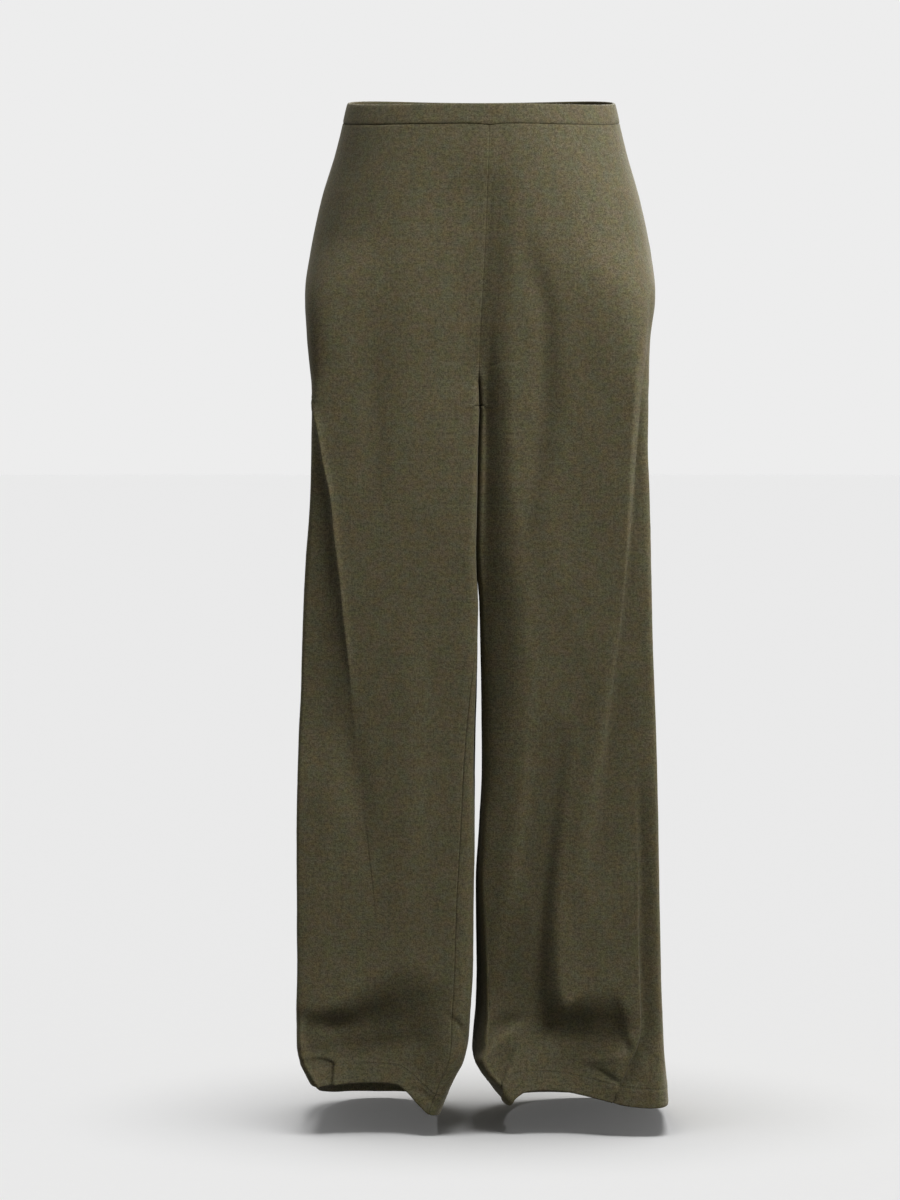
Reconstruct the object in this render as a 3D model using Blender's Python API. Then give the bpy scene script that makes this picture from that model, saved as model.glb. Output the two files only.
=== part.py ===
"""Linen drawstring trousers, standing as worn with the body left out.

Metres, +Z up, front towards -Y, origin in the middle of the waist opening.
A "drop" is the distance below the waist. The wearer's right leg is at -X.
Tables are in millimetres and degrees, and each names its columns.
"""

import bpy
import numpy as np

MM = 0.001

# ---- Sizes ----------------------------------------------------------------
CLOTH = 1.7 * MM            # wall of a leg panel
HEM_CLOTH = 2.6 * MM        # wall where the hem is turned up
BAND_CLOTH = 2.4 * MM       # wall of the doubled waistband
BAND_PROUD = 0.5 * MM       # how far the band stands off the panels
BAND_DEEP = 20.0 * MM
SEAM_GAP = 0.3 * MM         # space between neighbouring pieces
CENTRE_DIP = 1.5 * MM       # how far the band's seam dips at the centre front
BACK_RISE = 14.0 * MM       # how much higher the waist is at the back
CLEFT = 262 * MM            # drop where the two legs part, front and back
CROTCH = 306 * MM           # drop of the point where all four panels meet
HEM = 1035 * MM             # nominal drop of the hem
HEM_LIFT = 860 * MM         # the hem line's shape fades out above this drop
FRONT_COLUMNS = 24
BACK_COLUMNS = 15
BAND_COLUMNS = 27
NEAR_SHARE = 0.4            # share of a panel's columns on its inner side
TIGHTEST = 16 * MM          # a tighter bend than this draws no more columns
BEND_SHARE = 0.9            # how strongly columns gather at bends

SIDE_SIGN = {"right": -1.0, "left": 1.0}

# ---- Rows of points, as nominal drops -------------------------------------
ROWS = [
    20.3, 40, 70, 105, 140, 175, 210, 240, 262, 277, 291, 301, 306, 312, 326,
    348, 376, 408, 440, 475, 510, 545, 580, 615, 650, 685, 720, 755, 790, 822,
    850, 874, 892, 906, 918, 930, 943, 958, 976, 996, 1012.4, 1013.6, 1035,
]
HEM_TURN = 1013 * MM

# ---- Sections -------------------------------------------------------------
# How far each leg's section reaches from the middle plane.
WIDTH_COLUMNS = ("drop", "inner", "outer")
WIDTHS = {
    "right": [
        (0, 0.0, 138.0),
        (50, 0.0, 150.0),
        (100, 0.0, 165.5),
        (150, 0.0, 176.0),
        (190, 0.0, 180.5),
        (235, 0.0, 180.5),
        (262, 0.0, 178.8),
        (285, 0.0, 176.6),
        (306, 0.3, 175.0),
        (340, 3.0, 174.0),
        (400, 4.6, 175.2),
        (473, 5.0, 180.0),
        (550, 4.0, 184.6),
        (600, 4.4, 186.0),
        (680, 5.8, 188.6),
        (740, 6.2, 189.8),
        (800, 7.2, 190.0),
        (880, 7.8, 189.8),
        (925, 9.2, 190.4),
        (957, 11.8, 190.4),
        (975, 14.0, 188.8),
        (987, 21.2, 181.0),
        (1000, 28.8, 174.4),
        (1012, 35.0, 172.6),
        (1030, 42.0, 170.6),
        (1060, 56.0, 165.0),
    ],
    "left": [
        (0, 0.0, 138.0),
        (50, 0.0, 150.0),
        (100, 0.0, 165.0),
        (150, 0.0, 175.0),
        (190, 0.0, 179.0),
        (240, 0.0, 175.8),
        (280, 0.0, 172.4),
        (306, 0.3, 171.0),
        (340, 0.5, 170.6),
        (400, -2.0, 171.4),
        (473, -3.4, 174.0),
        (550, -1.0, 176.4),
        (600, 0.0, 178.4),
        (680, 0.6, 180.8),
        (740, -2.0, 181.8),
        (800, -5.2, 182.8),
        (880, -6.0, 184.0),
        (925, -6.6, 186.0),
        (957, -8.8, 188.6),
        (975, -11.2, 189.2),
        (987, -7.4, 189.8),
        (1000, 4.2, 190.4),
        (1012, 12.0, 191.2),
        (1025, 22.0, 192.4),
        (1060, 40.0, 194.0),
    ],
}
# How far the section reaches ahead of and behind the side plane.
DEPTH_COLUMNS = ("drop", "front", "back")
DEPTHS = [
    (0, 98, 98),
    (50, 107, 107),
    (100, 113, 119),
    (160, 117, 129),
    (220, 118, 131),
    (280, 116, 126),
    (360, 113, 117),
    (450, 110, 109),
    (550, 107, 105),
    (650, 105, 105),
    (750, 106, 108),
    (850, 110, 113),
    (930, 118, 118),
    (980, 125, 122),
    (1040, 130, 126),
    (1060, 131, 127),
]
# Where the section's front-most line lies, as a share of the way to the leg's middle.
MIDDLE_COLUMNS = ("drop", "share")
MIDDLES = [
    (0, 0.0),
    (262, 0.0),
    (306, 0.24),
    (340, 0.41),
    (400, 0.65),
    (480, 0.88),
    (560, 1.0),
    (1060, 1.0),
]
# Corner roundness: 2 is an ellipse, more is squarer.
ROUND_COLUMNS = ("drop", "inner_front", "outer_front", "outer_back", "inner_back")
ROUNDS = {
    "right": [
        (0, 3.0, 2.05, 2.05, 3.0),
        (130, 3.1, 2.4, 2.3, 3.0),
        (262, 3.6, 4.2, 2.75, 3.0),
        (320, 5.0, 6.0, 2.6, 2.7),
        (400, 6.5, 7.0, 2.6, 2.5),
        (600, 7.5, 7.5, 2.8, 2.5),
        (750, 7.0, 7.5, 2.9, 2.5),
        (900, 6.0, 7.0, 2.9, 2.5),
        (980, 4.2, 5.5, 2.6, 2.4),
        (1060, 2.8, 3.5, 2.4, 2.3),
    ],
    "left": [
        (0, 3.0, 2.05, 2.05, 3.0),
        (130, 3.1, 2.4, 2.3, 3.0),
        (262, 3.4, 5.0, 2.75, 3.0),
        (320, 4.2, 7.0, 2.6, 2.7),
        (400, 4.8, 7.5, 2.6, 2.5),
        (600, 4.6, 8.0, 2.8, 2.5),
        (750, 4.0, 8.0, 2.9, 2.5),
        (900, 3.5, 7.0, 2.9, 2.5),
        (980, 2.9, 5.5, 2.6, 2.4),
        (1060, 2.4, 3.8, 2.4, 2.3),
    ],
}
# Angles of the two leg seams: 0 is the inner side, 90 the front, 180 the outer side.
SEAM_COLUMNS = ("drop", "inseam", "sideseam")
SEAMS = {
    "right": [
        (0, 0, 180),
        (306, 0, 182),
        (360, 4, 184),
        (450, 22, 187),
        (550, 45, 190),
        (680, 49, 193),
        (930, 52, 196),
        (1060, 50, 196),
    ],
    "left": [
        (0, 0, 180),
        (306, 0, 178),
        (360, -2, 176),
        (450, -6, 172),
        (550, -10, 167),
        (680, -14, 161),
        (930, -18, 156),
        (1060, -18, 157),
    ],
}
# The hem line round each leg.
HEMLINE_COLUMNS = ("angle", "drop")
HEMLINES = {
    "right": [
        (0, 1034), (30, 1030), (40, 1028.5), (50, 1025), (60, 1015), (70, 1003), (80, 996),
        (95, 994.5), (125, 997), (148, 995), (160, 1000), (180, 1015), (205, 1029), (230, 1037),
        (270, 1040), (320, 1038), (360, 1034),
    ],
    "left": [
        (0, 1028), (20, 1020.5), (40, 1019), (50, 1013), (60, 1004), (80, 1003.5), (100, 1009.5),
        (120, 1017), (140, 1018), (160, 1023.5), (180, 1031), (200, 1036), (230, 1040),
        (270, 1042), (320, 1036), (360, 1028),
    ],
}
# Each panel's points are shared out on two sides of this line, so that they stay
# level while the fork opens at the crotch.
SPLIT_COLUMNS = ("drop", "out")
SPLITS = [(0, 46), (150, 42), (262, 26), (306, 38), (400, 60), (520, 84), (1060, 92)]
# Sideways lean of the centre seams.
LEAN_COLUMNS = ("drop", "shift")
LEANS = [(0, 8.5), (20, 8.0), (145, 3.5), (280, -0.5), (340, 0.0), (1060, 0.0)]

# ---- Folds ----------------------------------------------------------------
# An upright fold runs down a face, at "out" from the middle plane.
# groove: a trough. ridge: a crest. tuck: a crest that drops away on its outer side.
FOLD_COLUMNS = ("drop", "out", "deep", "wide")
FOLDS = {
    "right": [
        ("outer_tuck", "front", "tuck", [
            (290, 178, 0.0, 12),
            (346, 169, 7.0, 13),
            (404, 154, 11.0, 15),
            (458, 146, 12.0, 16),
            (522, 137, 11.0, 16),
            (574, 132, 8.0, 15),
            (624, 127, 4.0, 14),
            (680, 123, 0.0, 14),
        ]),
        ("seat_fold", "back", "groove", [
            (215, 34, 0.0, 16),
            (285, 52, 5.0, 18),
            (350, 76, 6.0, 20),
            (430, 96, 4.0, 22),
            (520, 108, 0.0, 24),
        ]),
        ("calf_fold", "back", "tuck", [
            (560, 150, 0.0, 16),
            (680, 138, 6.0, 17),
            (800, 128, 7.0, 18),
            (900, 124, 4.0, 18),
            (985, 122, 0.0, 18),
        ]),
    ],
    "left": [
        ("centre_trough", "front", "groove", [
            (205, 13, 0.0, 8),
            (266, 13, 3.5, 10),
            (323, 14, 6.0, 13),
            (392, 15, 7.0, 16),
            (514, 18, 7.0, 20),
            (622, 18, 5.5, 19),
            (690, 16, 4.0, 17),
            (800, 12, 0.0, 14),
        ]),
        ("thigh_trough", "front", "groove", [
            (190, 67, 0.0, 16),
            (290, 66, 3.0, 15),
            (358, 61, 3.5, 14),
            (442, 49, 3.0, 13),
            (500, 41, 0.0, 13),
        ]),
        ("outer_crest", "front", "ridge", [
            (130, 168, 0.0, 14),
            (290, 156, 3.0, 15),
            (425, 147, 4.5, 15),
            (546, 136, 5.5, 15),
            (665, 121, 6.0, 15),
            (767, 104, 7.0, 15),
            (835, 92, 6.5, 14),
            (885, 86, 0.0, 14),
        ]),
        ("shin_trough", "front", "groove", [
            (620, 88, 0.0, 16),
            (690, 78, 5.0, 16),
            (750, 70, 8.0, 17),
            (820, 64, 11.0, 18),
            (870, 62, 12.0, 18),
            (905, 64, 9.0, 18),
            (930, 66, 0.0, 18),
        ]),
        ("hem_tuck", "front", "tuck", [
            (660, 154, 0.0, 12),
            (767, 157, 4.0, 13),
            (850, 158, 6.0, 14),
            (950, 158, 6.0, 14),
            (990, 148, 3.0, 14),
            (1030, 144, 0.0, 14),
        ]),
        ("seat_fold", "back", "groove", [
            (220, 38, 0.0, 16),
            (290, 58, 5.0, 18),
            (360, 80, 5.5, 20),
            (440, 104, 4.0, 22),
            (510, 116, 0.0, 24),
        ]),
        ("calf_fold", "back", "groove", [
            (590, 66, 0.0, 18),
            (700, 58, 5.0, 18),
            (810, 54, 6.0, 18),
            (900, 60, 4.0, 18),
            (985, 66, 0.0, 18),
        ]),
    ],
}
# A break runs across a face just above the shoe. The cloth rolls in towards it within
# "above" and comes back within "below". A positive one stands out.
BREAK_COLUMNS = ("out", "drop", "deep", "above", "below")
BREAKS = {
    "right": [
        ("front_break", "front", [
            (40, 910, 0.0, 26, 70),
            (60, 911, -6.0, 28, 75),
            (87, 915, -16.0, 26, 80),
            (118, 922, -21.0, 21, 80),
            (149, 929, -20.0, 16, 75),
            (173, 927, -9.0, 14, 60),
            (188, 924, 0.0, 14, 50),
        ]),
        ("back_break", "back", [
            (20, 905, 0.0, 20, 20),
            (70, 898, -4.0, 20, 20),
            (120, 908, -4.0, 20, 20),
            (170, 920, 0.0, 20, 20),
        ]),
    ],
    "left": [
        ("front_break", "front", [
            (48, 916, 0.0, 18, 60),
            (64, 924, -12.0, 20, 75),
            (84, 934, -21.0, 22, 80),
            (108, 937, -19.0, 23, 80),
            (132, 938, -11.0, 22, 65),
            (156, 946, 0.0, 18, 45),
        ]),
        ("inner_crease", "front", [
            (-8, 948, 0.0, 10, 10),
            (8, 942, -4.0, 10, 10),
            (30, 930, -4.0, 10, 10),
            (44, 924, 0.0, 10, 10),
        ]),
        ("back_break", "back", [
            (24, 918, 0.0, 20, 20),
            (80, 904, -4.0, 20, 20),
            (130, 900, -4.0, 20, 20),
            (172, 910, 0.0, 20, 20),
        ]),
    ],
}


# ---- Curves ---------------------------------------------------------------
def curve(names, rows, name, at):
    """Smooth curve, with no overshoot, of the named column against the first one."""
    unit = {"angle": 1.0, "share": 1.0, "inseam": 1.0, "sideseam": 1.0}
    along = np.array([row[0] for row in rows]) * unit.get(names[0], MM)
    plain = name in unit or names is ROUND_COLUMNS
    value = np.array([row[names.index(name)] for row in rows]) * (1.0 if plain else MM)
    step = np.diff(along)
    rise = np.diff(value) / step
    slope = np.zeros(len(value))
    turning = rise[:-1] * rise[1:] <= 0
    safe = np.where(turning, 1.0, rise[:-1])
    safe_next = np.where(turning, 1.0, rise[1:])
    wide = 2 * step[1:] + step[:-1]
    wide_next = step[1:] + 2 * step[:-1]
    mean = (wide + wide_next) / (wide / safe + wide_next / safe_next)
    slope[1:-1] = np.where(turning, 0.0, mean)
    slope[0] = rise[0]
    slope[-1] = rise[-1]
    at = np.clip(at, along[0], along[-1])
    i = np.clip(np.searchsorted(along, at, side="right") - 1, 0, len(step) - 1)
    t = (at - along[i]) / step[i]
    return (
        value[i] * (1 + 2 * t) * (1 - t) ** 2
        + slope[i] * step[i] * t * (1 - t) ** 2
        + value[i + 1] * t * t * (3 - 2 * t)
        + slope[i + 1] * step[i] * t * t * (t - 1)
    )


def ease(t):
    t = np.clip(t, 0, 1)
    return t * t * (3 - 2 * t)


# ---- The smooth section ---------------------------------------------------
def reach(side, drop):
    """Inner edge, front-most line and outer edge of the section."""
    inner = curve(WIDTH_COLUMNS, WIDTHS[side], "inner", drop)
    outer = curve(WIDTH_COLUMNS, WIDTHS[side], "outer", drop)
    share = curve(MIDDLE_COLUMNS, MIDDLES, "share", drop)
    return inner, inner + share * (outer - inner) / 2, outer


def section(side, angle, drop):
    """Smooth section: distance out from the middle plane, and y."""
    inner, middle, outer = reach(side, drop)
    front = curve(DEPTH_COLUMNS, DEPTHS, "front", drop)
    back = curve(DEPTH_COLUMNS, DEPTHS, "back", drop)
    c = np.cos(angle)
    s = np.sin(angle)
    corner = [curve(ROUND_COLUMNS, ROUNDS[side], name, drop) for name in ROUND_COLUMNS[1:]]
    ahead = np.where(c > 0, corner[0], corner[1])
    behind = np.where(c > 0, corner[3], corner[2])
    n = np.where(s > 0, ahead, behind)
    across = np.maximum(np.abs(c), 1e-9)
    along = np.maximum(np.abs(s), 1e-9)
    size = (across**n + along**n) ** (-1 / n)
    out = middle - np.where(c > 0, middle - inner, outer - middle) * size * c
    return out, (back - front) / 2 - (back + front) / 2 * size * s


def face_angle(side, face, out, drop):
    """Angle of the point of the front or back that lies "out" from the middle plane."""
    inner, middle, outer = reach(side, drop)
    half = np.maximum(np.where(out < middle, middle - inner, outer - middle), 1e-6)
    share = np.clip(np.abs(out - middle) / half, 1e-6, 0.9995)
    names = ("inner_front", "outer_front") if face == "front" else ("inner_back", "outer_back")
    near = curve(ROUND_COLUMNS, ROUNDS[side], names[0], drop)
    far = curve(ROUND_COLUMNS, ROUNDS[side], names[1], drop)
    n = np.where(out < middle, near, far)
    angle = np.arctan((share ** (-n) - 1) ** (1 / n))
    angle = np.where(out < middle, angle, np.pi - angle)
    return angle if face == "front" else -angle


def turn(angle):
    return (angle + np.pi) % (2 * np.pi) - np.pi


def fold_shape(kind, t):
    """Height of a fold at t widths outwards from its line."""
    if kind == "groove":
        return -np.exp(-t * t)
    if kind == "ridge":
        return (1 + 1.5 * t * t) ** -1.5
    past = np.maximum(t, 0)
    drop_off = -(1 - np.exp(-((past / 0.35) ** 2))) * np.exp(-((past / 1.6) ** 1.5))
    lip = np.where(t < 0, np.exp(-((t / 0.9) ** 2)), np.exp(-((t / 0.2) ** 2)))
    return drop_off + 0.25 * lip


def folds_at(side, angle, drop, out, y):
    """Height of every fold of the leg at this point."""
    height = np.zeros_like(out)
    for _, face, kind, rows in FOLDS[side]:
        lies = np.clip(drop, rows[0][0] * MM, rows[-1][0] * MM)
        line = curve(FOLD_COLUMNS, rows, "out", lies)
        deep = curve(FOLD_COLUMNS, rows, "deep", lies)
        wide = curve(FOLD_COLUMNS, rows, "wide", lies)
        at = face_angle(side, face, line, drop)
        line_out, line_y = section(side, at, drop)
        away = turn(angle - at)
        sign = np.sign(away) * (1 if face == "front" else -1)
        t = np.hypot(out - line_out, y - line_y) * sign / wide
        height += deep * fold_shape(kind, t) * (np.abs(away) < 1.7)
    for _, face, rows in BREAKS[side]:
        lies = np.clip(out, rows[0][0] * MM, rows[-1][0] * MM)
        line = curve(BREAK_COLUMNS, rows, "drop", lies)
        deep = curve(BREAK_COLUMNS, rows, "deep", lies)
        above = curve(BREAK_COLUMNS, rows, "above", lies)
        below = curve(BREAK_COLUMNS, rows, "below", lies)
        wide = np.where(drop < line, above, below)
        facing = np.sin(angle) * (1 if face == "front" else -1)
        height += deep * np.exp(-(((drop - line) / wide) ** 2)) * ease((facing - 0.15) / 0.35)
    return height


def folded(side, angle, drop):
    """The section with its folds pushed along its own normal."""
    out, y = section(side, angle, drop)
    after_out, after_y = section(side, angle + 0.004, drop)
    before_out, before_y = section(side, angle - 0.004, drop)
    run_out = after_out - before_out
    run_y = after_y - before_y
    length = np.hypot(run_out, run_y) + 1e-12
    height = folds_at(side, angle, drop, out, y)
    return out + run_y / length * height, y - run_out / length * height


# ---- Seams ----------------------------------------------------------------
def centre_angle(side, face, drop):
    """Angle of the panel's inner edge: centre seam down to the crotch, inseam below it."""
    t = np.clip((drop - CLEFT) / (CROTCH - CLEFT), 0, 1)
    depth = np.sqrt(1 - t * t)
    name = "inner_front" if face == "front" else "inner_back"
    n = curve(ROUND_COLUMNS, ROUNDS[side], name, drop)
    slant = (np.maximum(depth, 1e-6) ** (-n) - 1) ** (1 / n)
    angle = np.where(t >= 1, 0.0, np.arctan2(1.0, slant))
    inseam = np.radians(curve(SEAM_COLUMNS, SEAMS[side], "inseam", drop))
    return np.where(drop < CROTCH, angle * (1 if face == "front" else -1), inseam)


def side_angle(side, drop):
    return np.radians(curve(SEAM_COLUMNS, SEAMS[side], "sideseam", drop))


def on_leg(side, angle, drop):
    """Point of the outer surface, before the lean and the rise at the back."""
    hem = curve(HEMLINE_COLUMNS, HEMLINES[side], "drop", np.degrees(angle) % 360)
    low = drop + (hem - HEM) * ease((drop - HEM_LIFT) / (HEM - HEM_LIFT))
    out, y = folded(side, angle, low)
    for face in ("front", "back"):
        edge = centre_angle(side, face, np.minimum(drop, CROTCH - 1e-7))
        edge_out, edge_y = folded(side, edge, low)
        near = np.exp(-((np.hypot(out - edge_out, y - edge_y) / 0.022) ** 2))
        same = np.sin(angle) * (1 if face == "front" else -1) >= 0
        out = out - edge_out * near * same * (drop < CROTCH)
    return np.stack([SIDE_SIGN[side] * out, y, -low], axis=-1)


def normals(side, angle, drop):
    """Outward normals of the surface."""
    across = on_leg(side, angle + 0.01, drop) - on_leg(side, angle - 0.01, drop)
    down = on_leg(side, angle, drop + 1.5 * MM) - on_leg(side, angle, drop - 1.5 * MM)
    normal = np.cross(down, across) * SIDE_SIGN[side]
    return normal / np.linalg.norm(normal, axis=-1, keepdims=True)


def settle(points):
    """Leans the centre seams and lifts the waist at the back."""
    drop = -points[..., 2]
    lean = curve(LEAN_COLUMNS, LEANS, "shift", drop) * -points[..., 1] / 0.11
    rise = BACK_RISE * ease((points[..., 1] + 0.09) / 0.18) * (1 - ease(drop / 0.26))
    return points + np.stack([lean, np.zeros_like(lean), rise], axis=-1)


# ---- Columns of points ----------------------------------------------------
def stations(side, start, end, drop, count):
    """Angles of part of a row, closer together where the cloth bends."""
    share = np.linspace(0, 1, 161)
    angle = start[:, None] + (end - start)[:, None] * share
    row = on_leg(side, angle, drop[:, None])[..., :2]
    run = np.diff(row, axis=1)
    length = np.hypot(run[..., 0], run[..., 1])
    heading = np.unwrap(np.arctan2(run[..., 1], run[..., 0]), axis=1)
    bend = np.minimum(np.abs(np.gradient(heading, axis=1)), length / TIGHTEST)
    weight = length / length.sum(axis=1, keepdims=True)
    weight = weight + BEND_SHARE * bend / np.maximum(bend.sum(axis=1, keepdims=True), 1e-9)
    for _ in range(30):
        weight[:, 1:-1] = (weight[:, :-2] + 2 * weight[:, 1:-1] + weight[:, 2:]) / 4
    for _ in range(3):
        weight[1:-1] = (weight[:-2] + 2 * weight[1:-1] + weight[2:]) / 4
    total = np.concatenate([np.zeros((len(drop), 1)), np.cumsum(weight, axis=1)], axis=1)
    total /= total[:, -1:]
    even = np.linspace(0, 1, count)
    return np.array([np.interp(even, total[i], angle[i]) for i in range(len(drop))])


def panel_points(side, face, count):
    """Outer and inner points of a leg panel, as rows from the waist seam to the hem."""
    drop = np.array(ROWS) * MM
    start = centre_angle(side, face, drop)
    end = side_angle(side, drop) - (0 if face == "front" else 2 * np.pi)
    split = face_angle(side, face, curve(SPLIT_COLUMNS, SPLITS, "out", drop), drop)
    near = round(count * NEAR_SHARE)
    angle = np.concatenate(
        [
            stations(side, start, split, drop, near + 1)[:, :-1],
            stations(side, split, end, drop, count - near),
        ],
        axis=1,
    )
    drops = np.repeat(drop[:, None], count, axis=1)
    outer = on_leg(side, angle, drops)
    normal = normals(side, angle, drops)
    wall = np.where(drop > HEM_TURN, HEM_CLOTH, CLOTH)[:, None, None]
    inner = outer - normal * wall
    # The edges stand half a gap back from each seam.
    for grid in (outer, inner):
        edge = grid[:, 1] - grid[:, 0]
        grid[:, 0] += edge / np.linalg.norm(edge, axis=1, keepdims=True) * SEAM_GAP / 2
        edge = grid[:, -2] - grid[:, -1]
        grid[:, -1] += edge / np.linalg.norm(edge, axis=1, keepdims=True) * SEAM_GAP / 2
    # Nothing crosses the middle plane above the crotch.
    high = drops <= CROTCH + 1e-9
    for grid in (outer, inner):
        away = grid[..., 0] * SIDE_SIGN[side]
        grid[..., 0] = np.where(high, np.maximum(away, SEAM_GAP / 2), away) * SIDE_SIGN[side]
    if face == "front":
        dip = CENTRE_DIP * np.exp(-((outer[0, :, 0] / 0.010) ** 2))
        for grid in (outer, inner):
            grid[0, :, 2] -= dip
    # The inner edge of the top row is level with the outer edge.
    inner[0, :, 2] = outer[0, :, 2]
    return settle(outer), settle(inner)


def band_points(face):
    """Outer and inner points of half the waistband, from the right side seam to the left."""
    half = BAND_COLUMNS // 2
    turn_to = 1.0 if face == "front" else -1.0
    out_angle = np.linspace(np.pi, np.pi / 2, half + 1) * turn_to
    rows = []
    for drop, proud in ((0.0, 0.0), (0.3, 1.0), (0.7, 1.0), (1.0, 1.0)):
        level = np.full(half + 1, BAND_DEEP * drop)
        shell = []
        for side in ("right", "left"):
            points = on_leg(side, out_angle, level)
            normal = normals(side, out_angle, np.full(half + 1, BAND_DEEP * 0.6))
            normal[:, 2] = 0
            normal /= np.linalg.norm(normal, axis=1, keepdims=True)
            # The centre of the band is shared by both sides.
            normal[-1] = (0, -turn_to, 0)
            points[-1, 0] = 0
            if side == "left":
                points, normal = points[-2::-1], normal[-2::-1]
            shell.append((points, normal))
        points = np.concatenate([shell[0][0], shell[1][0]])
        normal = np.concatenate([shell[0][1], shell[1][1]])
        lift = BAND_PROUD * proud
        rows.append((points + normal * lift, points + normal * (lift - BAND_CLOTH)))
    outer = np.array([row[0] for row in rows])
    inner = np.array([row[1] for row in rows])
    if face == "front":
        dip = CENTRE_DIP * np.exp(-((outer[-1, :, 0] / 0.010) ** 2))
        for grid in (outer, inner):
            grid[-1, :, 2] -= dip
    for grid in (outer, inner):
        for end, beside in ((0, 1), (-1, -2)):
            edge = grid[:, beside] - grid[:, end]
            grid[:, end] += edge / np.linalg.norm(edge, axis=1, keepdims=True) * SEAM_GAP / 2
    return settle(outer), settle(inner)


# ---- Solids ---------------------------------------------------------------
def make_solid(name, outer, inner, material):
    """Closes two grids of points into one solid with outward faces."""
    rows, columns = outer.shape[:2]
    count = rows * columns
    vertices = np.concatenate([outer.reshape(-1, 3), inner.reshape(-1, 3)])

    def at(layer, i, j):
        return layer * count + i * columns + j

    faces = []
    for i in range(rows - 1):
        for j in range(columns - 1):
            faces.append((at(0, i, j), at(0, i + 1, j), at(0, i + 1, j + 1), at(0, i, j + 1)))
            faces.append((at(1, i, j), at(1, i, j + 1), at(1, i + 1, j + 1), at(1, i + 1, j)))
    for i in range(rows - 1):
        faces.append((at(0, i, 0), at(1, i, 0), at(1, i + 1, 0), at(0, i + 1, 0)))
        last = columns - 1
        faces.append((at(0, i, last), at(0, i + 1, last), at(1, i + 1, last), at(1, i, last)))
    for j in range(columns - 1):
        faces.append((at(0, 0, j), at(0, 0, j + 1), at(1, 0, j + 1), at(1, 0, j)))
        low = rows - 1
        faces.append((at(0, low, j), at(1, low, j), at(1, low, j + 1), at(0, low, j + 1)))
    triangles = []
    for a, b, c, d in faces:
        short = np.linalg.norm(vertices[a] - vertices[c]) <= np.linalg.norm(vertices[b] - vertices[d])
        triangles += [(a, b, c), (a, c, d)] if short else [(a, b, d), (b, c, d)]
    corner = vertices[np.array(triangles)]
    volume = np.einsum("ij,ij->i", corner[:, 0], np.cross(corner[:, 1], corner[:, 2])).sum()
    if volume < 0:
        triangles = [face[::-1] for face in triangles]
    mesh = bpy.data.meshes.new(name)
    mesh.from_pydata([tuple(map(float, v)) for v in vertices], [], triangles)
    mesh.polygons.foreach_set("use_smooth", [True] * len(triangles))
    mesh.materials.append(material)
    mesh.update()
    made = bpy.data.objects.new(name, mesh)
    bpy.context.scene.collection.objects.link(made)
    return made


def make_material(name, colour, roughness):
    material = bpy.data.materials.new(name)
    material.use_nodes = True
    shader = material.node_tree.nodes["Principled BSDF"]
    shader.inputs["Base Color"].default_value = (*colour, 1.0)
    shader.inputs["Roughness"].default_value = roughness
    material.diffuse_color = (*colour, 1.0)
    return material


def build():
    for old in list(bpy.data.objects):
        bpy.data.objects.remove(old, do_unlink=True)
    linen = make_material("linen", (0.068, 0.059, 0.032), 0.92)
    for side in ("right", "left"):
        for face, count in (("front", FRONT_COLUMNS), ("back", BACK_COLUMNS)):
            outer, inner = panel_points(side, face, count)
            make_solid(f"{face}_leg_{side}", outer, inner, linen)
    for face in ("front", "back"):
        outer, inner = band_points(face)
        make_solid(f"waistband_{face}", outer, inner, linen)


build()
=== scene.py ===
"""Looks of the linen trousers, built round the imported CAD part.

Metres, +Z up, front towards -Y, origin in the middle of the waist opening.
A "drop" is the distance below the waist. The wearer's right leg is at -X.
Tables are in millimetres and degrees, and each names its columns.
"""

import bmesh
import bpy
import numpy as np
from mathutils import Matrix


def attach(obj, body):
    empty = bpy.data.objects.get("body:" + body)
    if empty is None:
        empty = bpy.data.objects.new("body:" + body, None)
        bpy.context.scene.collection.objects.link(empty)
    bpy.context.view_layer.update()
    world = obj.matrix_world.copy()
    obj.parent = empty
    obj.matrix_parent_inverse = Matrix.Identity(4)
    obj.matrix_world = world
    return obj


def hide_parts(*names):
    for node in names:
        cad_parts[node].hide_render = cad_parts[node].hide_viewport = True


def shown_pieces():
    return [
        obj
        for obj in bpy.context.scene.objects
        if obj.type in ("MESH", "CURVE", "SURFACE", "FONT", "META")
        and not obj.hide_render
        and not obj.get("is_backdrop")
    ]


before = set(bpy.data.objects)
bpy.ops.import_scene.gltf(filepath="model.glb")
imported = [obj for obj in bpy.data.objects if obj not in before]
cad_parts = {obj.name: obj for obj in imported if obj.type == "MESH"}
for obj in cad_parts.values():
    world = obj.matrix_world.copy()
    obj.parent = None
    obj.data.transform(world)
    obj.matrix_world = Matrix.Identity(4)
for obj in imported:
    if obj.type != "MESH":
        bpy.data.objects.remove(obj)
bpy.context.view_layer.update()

MM = 0.001

# ---- Sizes ----------------------------------------------------------------
CLOTH = 1.1 * MM            # wall of a leg panel
HEM_EXTRA = 0.7 * MM        # more inside, where the hem is turned up
BAND_DEEP = 20.0 * MM
CENTRE_DIP = 1.5 * MM       # how far the band's seam dips at the centre front
BACK_RISE = 14.0 * MM       # how much higher the waist is at the back
CLEFT = 262 * MM            # drop where the two legs part, front and back
CROTCH = 306 * MM           # drop of the point where all four panels meet
HEM = 1035 * MM             # nominal drop of the hem
HEM_LIFT = 860 * MM         # the hem line's shape fades out above this drop
BREAKS_FROM = 850 * MM      # below this drop the cloth breaks on the foot, with finer rows
HEM_DEEP = 22 * MM          # height of the turned-up hem
STITCH_UP = 20 * MM         # the hem's stitch line above the edge
FRONT_COLUMNS = 151
BACK_COLUMNS = 127
NEAR_SHARE = 0.4            # share of a panel's columns on its inner side
BEND_SHARE = 0.7            # how strongly columns gather at bends
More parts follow.
